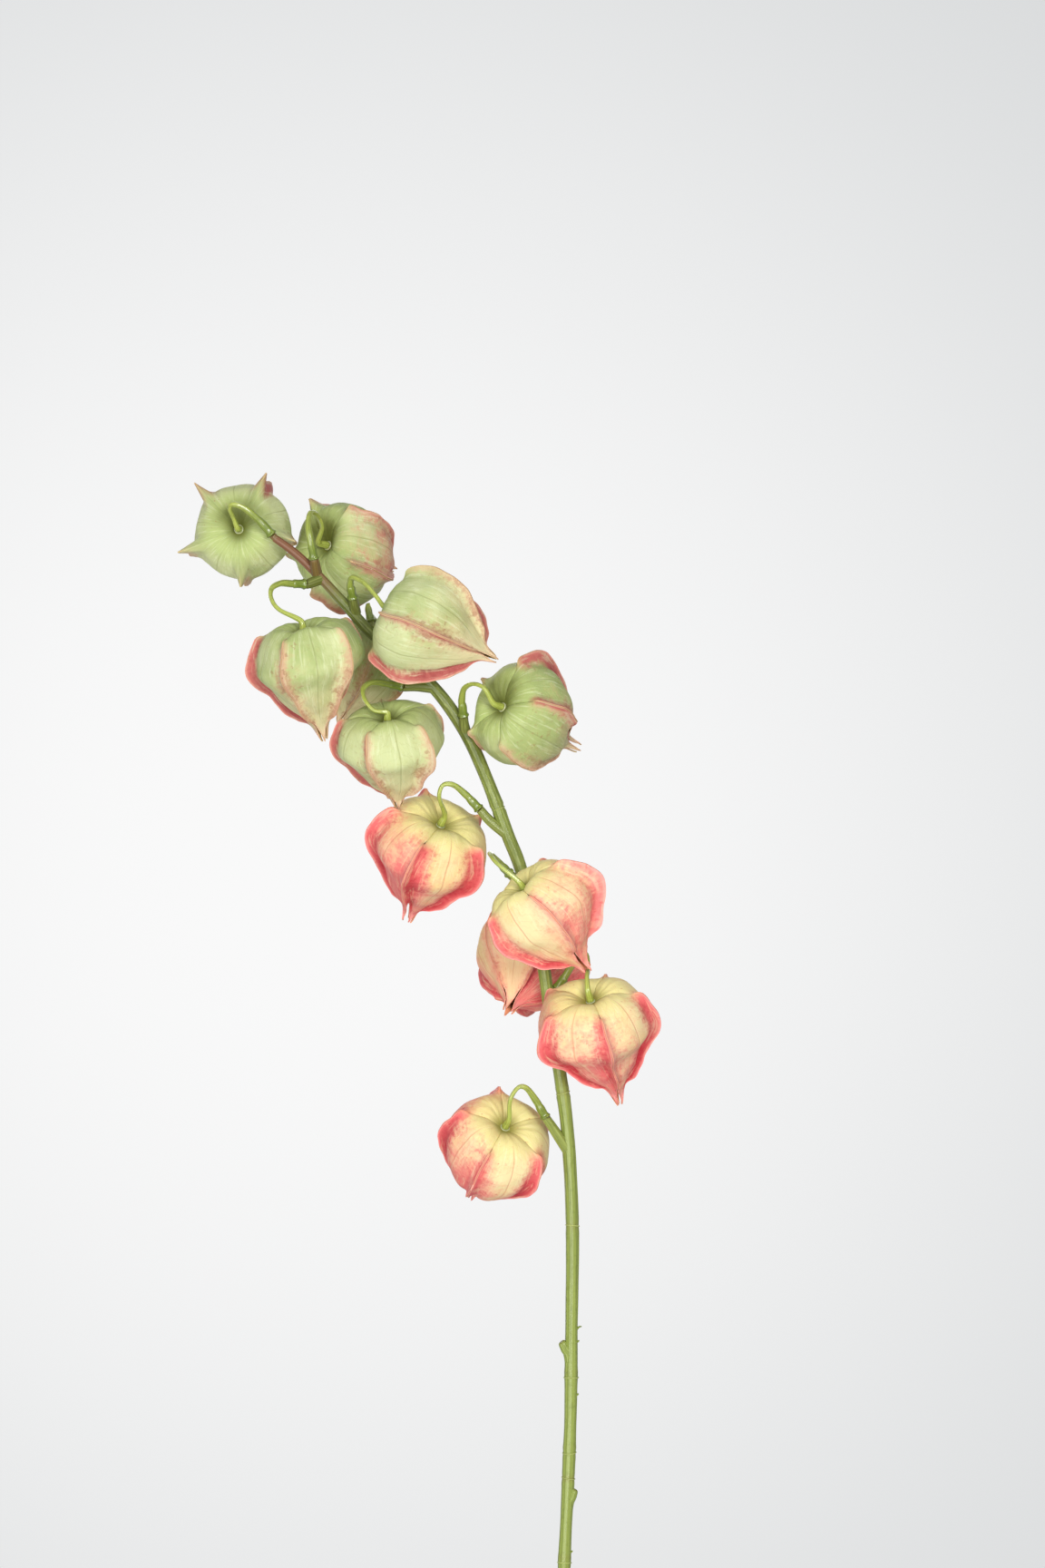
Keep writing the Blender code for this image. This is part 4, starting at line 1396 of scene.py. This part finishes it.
@dataclass
class ClothLantern:
    """Five thin panels on the calyx's form, with their edges turned out as keels.

    Places down a panel are counted in the profile's rings, from 0 at the hole to 9 at the
    tip, and a list of ten numbers has one for each ring. Places across it run from -1 on
    one seam to 1 on the other. Profile, tip, sag and hollow are shares of the radius.
    """

    calyx: Calyx
    finish: bpy.types.Material
    panels: int = 5
    rows: int = 73
    sheet: float = 0.34
    sharp: float = 70.0
    usual_radius: float = 24.0
    rise_start: float = 0.66
    tuck: float = 0.7
    wander: float = 0.035
    ripple: float = 0.34
    curl: float = 0.035
    profile: tuple = (
        (0.06, 0.00), (0.46, -0.19), (0.79, -0.06), (0.97, 0.27), (1.00, 0.60),
        (0.88, 0.95), (0.65, 1.27), (0.38, 1.54), (0.16, 1.77),
    )
    tip: tuple = (0.07, 1.94)
    last_ring: float = 9.0
    sag: tuple = (0.0, 0.085, 0.06, 0.045, 0.04, 0.035, 0.03, 0.02, 0.0, 0.0)
    keel_height: tuple = (0.0, 0.0, 3.1, 3.0, 3.0, 2.9, 2.6, 2.0, 0.6, 0.0)
    closed_width: tuple = (1.0, 1.0, 1.0, 1.0, 1.0, 1.0, 0.99, 0.98, 0.86, 0.06)
    open_width: tuple = (1.0, 1.0, 1.0, 1.0, 1.0, 0.97, 0.90, 0.82, 0.62, 0.05)
    hole_radius: float = 1.5
    least_radius: float = 0.4
    horn_way: tuple = (0.9, -0.44)
    taper_ring: int = 5
    split_ring: int = 7

    def __post_init__(self) -> None:
        """Draw this lantern's own unevenness, in the order that the part draws it."""
        def turns(draw: random.Random, count: int) -> list:
            """So many random angles."""
            return [draw.uniform(0, math.tau) for _ in range(count)]

        draw, panels = random.Random(self.calyx.number), range(self.panels)
        self.phases = turns(draw, 6)
        self.tips = [(draw.uniform(0.9, 1.25), draw.uniform(-0.05, 0.04)) for _ in panels]
        more = random.Random(100 + self.calyx.number)
        self.dents = [turns(more, 6) for _ in panels]
        self.tones = [more.uniform(-0.25, 0.25) for _ in panels]
        self.waves = [turns(more, 3) for _ in panels]
        self.turn = math.tau / self.panels
        self.horn = self.calyx.horn * self.calyx.horn_share
        self.hollow = self.calyx.hollow * self.calyx.radius
        self.ring = np.linspace(0, self.last_ring, self.rows)[:, None]
        self.across = self.columns()

    def columns(self) -> np.ndarray:
        """Places across a panel, closer together on the keels.

        Returns:
            Places from -1 to 1.
        """
        inner = np.linspace(0.0, self.rise_start, 9)
        outer = 1 - (1 - self.rise_start) * (1 - np.linspace(0, 1, 11)[1:]) ** 1.3
        half = np.concatenate([inner, outer])
        return np.concatenate([-half[:0:-1], half])

    def matrix(self) -> np.ndarray:
        """The turn of the lantern's own frame.

        Returns:
            Columns of the first keel's way, the way across it and the axis.
        """
        along = unit(self.calyx.axis)
        first = np.array(self.calyx.keel, float)
        first = unit(first - along * (first @ along))
        return np.stack([first, np.cross(along, first), along], 1)

    def place(self, turn: np.ndarray, radius: np.ndarray,
              height: np.ndarray) -> np.ndarray:
        """Points of the shell with the lantern's own lean and swell.

        Args:
            turn: Angles round the axis.
            radius: Distances from the axis.
            height: Places along the axis.

        Returns:
            Points in the lantern's own frame, in millimetres.
        """
        size = self.calyx.radius
        points = np.stack([radius * np.cos(turn), radius * np.sin(turn), height], -1)
        away = np.clip(np.linalg.norm(points, axis=-1) / size - 0.15, 0, None)
        reach = self.calyx.warp * size * np.minimum(1.0, away * 1.6)
        a, b, c, d, e, f = self.phases
        x, y, z = (points[..., k] / size for k in range(3))
        moved = np.stack([
            np.sin(1.9 * y + a) + 0.6 * np.sin(2.6 * z + b),
            np.sin(1.8 * z + c) + 0.6 * np.sin(2.7 * x + d),
            0.7 * np.sin(2.2 * x + e) + 0.5 * np.sin(2.4 * y + f),
        ], -1)
        return points + reach[..., None] * moved

    def at_rings(self, numbers: tuple) -> np.ndarray:
        """A list of ten numbers, read at each row."""
        return np.interp(self.ring, np.arange(len(numbers)), numbers)

    def outline(self, panel: int) -> tuple:
        """The profile at each row of one panel.

        Args:
            panel: The panel's number, for its own tip.

        Returns:
            Radii, heights and outward directions.
        """
        size, stretch = self.calyx.radius, self.calyx.length
        spread, shift = self.tips[panel]
        share = self.calyx.tip_share
        rows = np.array([*self.profile, self.tip])
        rows[0, 0] = self.hole_radius / size
        rows[self.taper_ring:-2, 0] *= self.calyx.taper
        rows[-1] = (self.tip[0] * spread * share,
                    self.tip[1] + shift + 0.05 * (1 - share) + self.calyx.tail)
        line, after, before = (
            smooth_line(rows, np.clip(self.ring[:, 0] + step, 0, self.last_ring))
            for step in (0.0, 1e-3, -1e-3))
        run = (after - before) * (1, stretch)
        out = unit(np.stack([run[:, 1], -run[:, 0]], 1))
        return line[:, :1] * size, line[:, 1:] * size * stretch, out

    def redness(self, panel: int, across: np.ndarray) -> np.ndarray:
        """How red a panel is, from the seam on its one side to that on the other.

        Args:
            panel: The panel's number.
            across: Places across it.

        Returns:
            A redness for each place.
        """
        low = self.calyx.redness(panel, after=True)
        high = self.calyx.redness(panel + 1, after=False)
        return low + (high - low) * smooth_step(across, -0.35, 0.35)

    def dented(self, panel: int, across: np.ndarray) -> np.ndarray:
        """Soft dents, the keels' valleys, the middle vein and the pleats of one panel.

        Args:
            panel: The panel's number.
            across: Places across it.

        Returns:
            A height for each row and place, in millimetres.
        """
        a, b, c, d, e, f = self.dents[panel]
        ring, wide = self.ring, np.abs(across)
        soft = np.sin(2.3 * across + 0.9 * ring + a) + np.sin(1.7 * across - 1.5 * ring + b)
        soft = soft * 0.34 + 0.18 * np.sin(5.1 * across + 2.3 * ring + c)
        soft = soft + 0.12 * np.sin(3.3 * across - 4.7 * ring + d)
        deep = 0.15 + 1.1 * self.redness(panel, across) ** 2 * smooth_step(ring, 2.6, 5.0)
        pleat = np.sin(ring * 13 + across * 6 + e) * np.sin(ring * 5.3 + f)
        soft = soft - deep * bell(wide - 0.75, 0.14) + 0.26 * pleat * bell(wide - 0.80, 0.16)
        soft = soft - 0.10 * bell(wide, 0.03)
        pucker = 0.11 * np.sin(across * 11 + 2.4 * np.sin(ring * 1.6 + f))
        pucker = pucker * window(ring, 0.2, 0.7, 0.9, 2.2)
        return (soft * window(ring, 0.8, 2.4, 6.4, 8.4) + pucker) * (
            self.calyx.radius / self.usual_radius)

    def sway(self, seam: int) -> np.ndarray:
        """How far a seam wanders round the axis on its way down.

        Args:
            seam: The seam's number.

        Returns:
            An angle for each row, in radians.
        """
        a, b, _ = self.waves[seam]
        wander = np.sin(0.75 * self.ring + a) + 0.45 * np.sin(1.7 * self.ring + b)
        return self.wander * wander * window(self.ring, 1.6, 3.4, 6.6, 8.6)

    def ruffle(self, seam: int) -> np.ndarray:
        """How far a keel's edge rises and falls.

        Args:
            seam: The seam's number.

        Returns:
            A height for each row, in millimetres.
        """
        a, b, c = self.waves[seam]
        ring = self.ring
        wave = np.sin(2.6 * ring + c) + 0.6 * np.sin(5.3 * ring + a) * np.sin(1.9 * ring + b)
        return self.ripple * wave * window(ring, 1.9, 2.8, 6.6, 8.0)

    def sheet_points(self, panel: int) -> np.ndarray:
        """The outside of one panel.

        Args:
            panel: The panel's number.

        Returns:
            A grid of points, down the panel and across it.
        """
        line = self.outline(panel)
        grid = np.zeros((self.rows, len(self.across), 3))
        for side, pick in ((-1, self.across < 0), (1, self.across >= 0)):
            share = np.abs(self.across[pick])[None, :]
            seam = (panel if side < 0 else panel + 1) % self.panels
            split = self.calyx.splits.get(seam, self.split_ring)
            free = smooth_step(self.ring, split - 0.1, split + 0.9)[..., None]
            grid[:, pick] = (self._held(share, side, panel, seam, line) * (1 - free)
                             + self._freed(share, side, panel, seam, line) * free)
        return grid

    def _held(self, share: np.ndarray, side: int, panel: int, seam: int,
              line: tuple) -> np.ndarray:
        """Half a panel where it is joined: its flat, then its edge turned out.

        Args:
            share: Places from the panel's middle, at 0, to the seam, at 1.
            side: -1 for the half before the middle and 1 for the one after it.
            panel: The panel's number.
            seam: The number of the seam on that side.
            line: The panel's outline.

        Returns:
            A grid of points.
        """
        radius, height, out = line
        ring, size = self.ring, self.calyx.radius
        depth = self.at_rings(self.sag) * size * self.calyx.puff
        tall = self.at_rings(self.keel_height) * size / self.usual_radius
        tall = tall * smooth_step(ring, 1.4, 2.3) + self.ruffle(seam)
        wing = smooth_step(ring, 1.7, 3.2) * np.clip((8.6 - ring) / 4.8, 0, 1)
        tall = tall + self.calyx.wings.get(seam, 0.0) * wing
        up = np.clip((share - self.rise_start) / (1 - self.rise_start), 0, 1)
        below = smooth_step(ring, 1.2, 2.2)
        flank = (tall - depth) * up**2 - self.hollow * (1 - share**2)
        rise = -depth * share**2.5 * (1 - below) + flank * below
        rise = rise + self.dented(panel, share * side) * (1 - up)
        peak = np.clip(1 - np.abs(ring - 2.0) / 0.85, 0, 1) ** 1.3
        horn = self.horn * peak * np.clip((share - 0.58) / 0.42, 0, 1) ** 1.7
        wide = radius + out[:, :1] * rise + self.horn_way[0] * horn
        wide = np.maximum(wide, self.least_radius)
        place = height + out[:, 1:] * rise + self.horn_way[1] * horn
        half = self.turn / 2
        least = 0.02 + (self.sheet + 0.03) * smooth_step(ring, 1.5, 2.3)
        start = np.maximum(half * (1 - self.rise_start) * wide, least)
        gap = least + (start - least) * (1 - up) ** self.calyx.pinch
        swing = np.where(share > self.rise_start, gap / wide, half * (1 - share))
        turn = self.turn * (panel + 0.5) + side * (half - swing)
        return self.place(turn + self.sway(seam) * share**2, wide, place)

    def _freed(self, share: np.ndarray, side: int, panel: int, seam: int,
               line: tuple) -> np.ndarray:
        """Half a panel where it hangs free as a petal.

        Args:
            share: Places from the panel's middle, at 0, to the seam, at 1.
            side: -1 for the half before the middle and 1 for the one after it.
            panel: The panel's number.
            seam: The number of the seam on that side.
            line: The panel's outline.

        Returns:
            A grid of points.
        """
        radius, height, out = line
        split = seam in self.calyx.splits
        across = share * self.at_rings(self.open_width if split else self.closed_width)
        across, under = across * 0.99, 0.0
        if side > 0 and split:
            under = window(self.ring, self.split_ring - 1.6, self.split_ring - 0.2, 8.2, 8.9)
            across = across + 0.24 * share**2 * under
        rise = -self.at_rings(self.sag) * self.calyx.radius * self.calyx.puff * across**2.5
        rise = rise - self.tuck * under * share**2 - self.hollow * (1 - share**2)
        rise = rise + self.dented(panel, across * side)
        curl = self.curl * self.calyx.radius * smooth_step(self.ring, 8.0, 9.0)
        wide = np.maximum(radius + out[:, :1] * rise + curl, self.least_radius)
        turn = self.turn * (panel + 0.5 + side * 0.5 * across)
        return self.place(turn, wide, height + out[:, 1:] * rise)

    def shell(self, grid: np.ndarray) -> tuple:
        """A closed sheet from its outside.

        Args:
            grid: The outside's points.

        Returns:
            Points of the outside and then of the inside, and all the faces.
        """
        out = np.cross(np.gradient(grid, axis=1), np.gradient(grid, axis=0))
        out /= np.maximum(np.linalg.norm(out, axis=-1, keepdims=True), 1e-9)
        thick = np.full((len(grid), 1, 1), self.sheet)
        thick[-6:, 0, 0] *= np.linspace(1.0, 0.35, 6)
        points = np.vstack([grid.reshape(-1, 3), (grid - out * thick).reshape(-1, 3)])
        count = len(points) // 2
        number = np.arange(count).reshape(grid.shape[:2])
        outside = np.stack([number[:-1, :-1], number[:-1, 1:], number[1:, 1:],
                            number[1:, :-1]], -1).reshape(-1, 4)
        rims = [np.stack([line[1:], line[1:] + count, line[:-1] + count, line[:-1]], -1)
                for line in (number[:, 0], number[::-1, -1], number[-1], number[0, ::-1])]
        return points, np.vstack([outside, outside[:, ::-1] + count, *rims])

    def colouring(self, panel: int) -> dict:
        """Where each point of a panel is, how flushed, golden and rosy, and how much painted
        shade it gets.

        Args:
            panel: The panel's number.

        Returns:
            Numbers by attribute name, to be spread over the panel's grid.
        """
        a, b = self.dents[panel][:2]
        rolling = 0.93 + 0.07 * np.sin(self.ring * 1.3 + a)
        rolling = rolling * (0.96 + 0.04 * np.sin(self.ring * 2.9 + b))
        flush = np.clip(self.redness(panel, self.across) * rolling, 0, 1)
        turn = self.turn * (panel + 0.5 + 0.5 * self.across)
        # Painted shade: how far each place faces up, so that the shade darkens the dimple's
        # upper side.
        first, second, _ = self.matrix()[2]
        upward = first * np.cos(turn) + second * np.sin(turn)
        before, own, after = (self.calyx.rosy[(panel + k) % self.panels]
                              for k in (-1, 0, 1))
        rosy = np.interp(self.across, (-1.0, -0.7, 0.7, 1.0),
                         ((before + own) / 2, own, own, (own + after) / 2))
        return {"across": self.across, "down": self.ring / self.last_ring, "flush": flush,
                "gold": self.calyx.gold + self.tones[panel],
                "shade": self.calyx.shade * smooth_step(upward, -0.25, 0.65),
                "rosy": rosy}

    def build(self) -> bpy.types.Object:
        """The lantern as one piece of five closed sheets.

        Returns:
            The lantern.
        """
        points, faces, values = [], [], {}
        for panel in range(self.panels):
            grid = self.sheet_points(panel)
            sheet, quads = self.shell(grid)
            points.append(sheet)
            faces.append(quads + panel * len(sheet))
            for layer in (0.0, 1.0):
                for name, tone in {**self.colouring(panel), "lining": layer}.items():
                    tone = np.broadcast_to(tone, grid.shape[:2]).ravel()
                    values.setdefault(name, []).append(tone)
        kept = {name: np.concatenate(rows) for name, rows in values.items()}
        whole = np.vstack(points) @ self.matrix().T + self.calyx.hole
        name = f"{self.calyx.number:02d}"
        made = mesh_piece(f"lantern_cloth_{name}", whole, np.vstack(faces), kept,
                          self.finish, self.sharp)
        panel = np.repeat(np.arange(self.panels), len(whole) // self.panels)
        add_uv(made, (panel + 0.5 + 0.48 * kept["across"]) / self.panels,
               (kept["down"] * 0.98 + kept["lining"]) / 2)
        return settle(made, self.calyx.cloth.value, f"lantern_{name}")


# The studio.


@dataclass
class Studio:
    """Camera, lights, pale floor and the plain backdrop behind it all."""

    distance: float = 1.9
    camera_x: float = -0.0256
    camera_z: float = 0.5896
    lens: float = 98.96
    sensor: float = 36.0
    aim: tuple = (-0.06, 0.0, 0.5)
    floor_radius: float = 1.1
    floor_sides: int = 64
    bright: tuple = paint(249, 249, 249)
    dim: tuple = paint(213, 215, 216)
    air: tuple = paint(240, 241, 244)

    def build(self) -> None:
        """Make the whole studio."""
        self.camera()
        self.floor()
        self.lights()
        self.world()
        bpy.context.scene.view_settings.view_transform = "Standard"

    def camera(self) -> None:
        """The camera, level and looking along Y, as the photograph was taken."""
        lens = bpy.data.cameras.new("camera")
        lens.lens = self.lens
        lens.sensor_width = self.sensor
        made = bpy.data.objects.new("camera", lens)
        made.location = (self.camera_x, -self.distance, self.camera_z)
        made.rotation_euler = (math.pi / 2, 0, 0)
        bpy.context.scene.collection.objects.link(made)
        bpy.context.scene.camera = made

    def floor(self) -> None:
        """A round floor that fades out before it reaches the camera's view."""
        shares = np.array([1.0, 0.75, 0.5, 0.25])
        line = np.stack([shares * self.floor_radius / MM, shares * 0.0], 1)
        points, faces = lathe(line, self.floor_sides, foot=False)
        mesh_piece("floor", points, faces, {}, FLOOR.make())

    def light(self, name: str, place: tuple, power: float, size: float,
              tint: tuple = (1.0, 1.0, 1.0)) -> None:
        """A square soft light that looks at the lanterns.

        Args:
            name: Its name.
            place: Where it is, in metres.
            power: Its watts.
            size: How wide it is, in metres.
            tint: Its colour.
        """
        data = bpy.data.lights.new(name, "AREA")
        data.energy = power
        data.size = size
        data.color = tint
        made = bpy.data.objects.new(name, data)
        made.location = place
        made.visible_camera = False
        aim = Vector(self.aim) - made.location
        made.rotation_euler = aim.to_track_quat("-Z", "Y").to_euler()
        bpy.context.scene.collection.objects.link(made)

    def lights(self) -> None:
        """Soft light from above and the front, weaker from the sides and behind."""
        self.light("key", (0.45, -2.3, 1.0), 35.0, 0.7, (1.0, 0.985, 0.96))
        self.light("fill", (-1.1, -2.1, 0.30), 23.0, 1.1)
        self.light("low", (-0.35, -1.9, 0.03), 5.0, 0.5)
        self.light("top", (-0.1, -0.3, 2.1), 3.0, 1.2)
        self.light("back", (-0.3, 1.7, 0.9), 15.0, 1.6)

    def world(self) -> None:
        """A near-white backdrop, a little darker away from its bright middle."""
        made = bpy.data.worlds.new("backdrop")
        made.use_nodes = True
        bpy.context.scene.world = made
        tree = made.node_tree
        tree.nodes.clear()
        book = NodeBook(tree)
        way = book.node("ShaderNodeTexCoord", output="Generated")
        near, up = (book.node("ShaderNodeVectorMath", {"operation": "DOT_PRODUCT"},
                              {0: way, 1: Vector(aim).normalized()}, output="Value")
                    for aim in ((-0.050, 0.998, -0.012), (0.0, 0.0, 1.0)))
        edge = book.math("ARCCOSINE", book.math("MINIMUM", near, 1.0))
        seen = book.blend(book.ramp_up(edge, 0.02, 0.33), self.bright, self.dim)
        plain = book.node("ShaderNodeBackground", None,
                          {"Color": self.air, "Strength": 0.40 - up * 0.12})
        shown = book.node("ShaderNodeBackground", None, {"Color": seen, "Strength": 1.0})
        path = book.node("ShaderNodeLightPath", output="Is Camera Ray")
        both = book.node("ShaderNodeMixShader", None, {0: path, 1: plain, 2: shown})
        book.add("ShaderNodeOutputWorld", None, {0: both})


def glue_beads(rings: RingTree, radius: float = 1.85, lift: float = 0.35,
               bead: float = 0.16) -> bpy.types.Object:
    """The ring of glue round each cone, where a stalk enters its lantern.

    Args:
        rings: The tree that makes rings.
        radius: A ring's radius in millimetres.
        lift: How far outside the hole it lies, in millimetres.
        bead: How thick the glue is, as a share of the radius.

    Returns:
        The rings as one piece.
    """
    leans = unit([calyx.axis for calyx in CALYXES])
    centres = np.array([calyx.hole for calyx in CALYXES]) - leans * lift
    made = rings.wrap("glue_beads", centres, leans, np.full(len(leans), radius), Bead=bead,
                      Material=GLUE.make())
    return settle(made, "stalk_green")


def main() -> None:
    """Build the whole scene, piece by piece."""
    logging.basicConfig(level=logging.INFO, format="%(name)s: %(message)s")
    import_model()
    Studio().build()
    LOG.info("studio ready")
    rods, rings = RodTree(), RingTree()
    stem_finish, stalk_finish = STEM_PLASTIC.make(), STALK_PLASTIC.make()
    cloths = {Cloth.GREEN: GREEN_CLOTH.make(), Cloth.CORAL: CORAL_CLOTH.make()}
    made = [BottleVase().build()]
    made += PlasticStem(rods, rings, stem_finish).build()
    for hook, calyx in zip(HOOKS, CALYXES):
        made.append(HookedStalk(hook, calyx.hole, calyx.axis, rods, stalk_finish).build())
        made.append(ClothLantern(calyx, cloths[calyx.cloth]).build())
    made.append(glue_beads(rings))
    for piece in made:
        LOG.info("%s: %d faces", piece.name, len(piece.data.polygons))


if __name__ == "__main__":
    main()
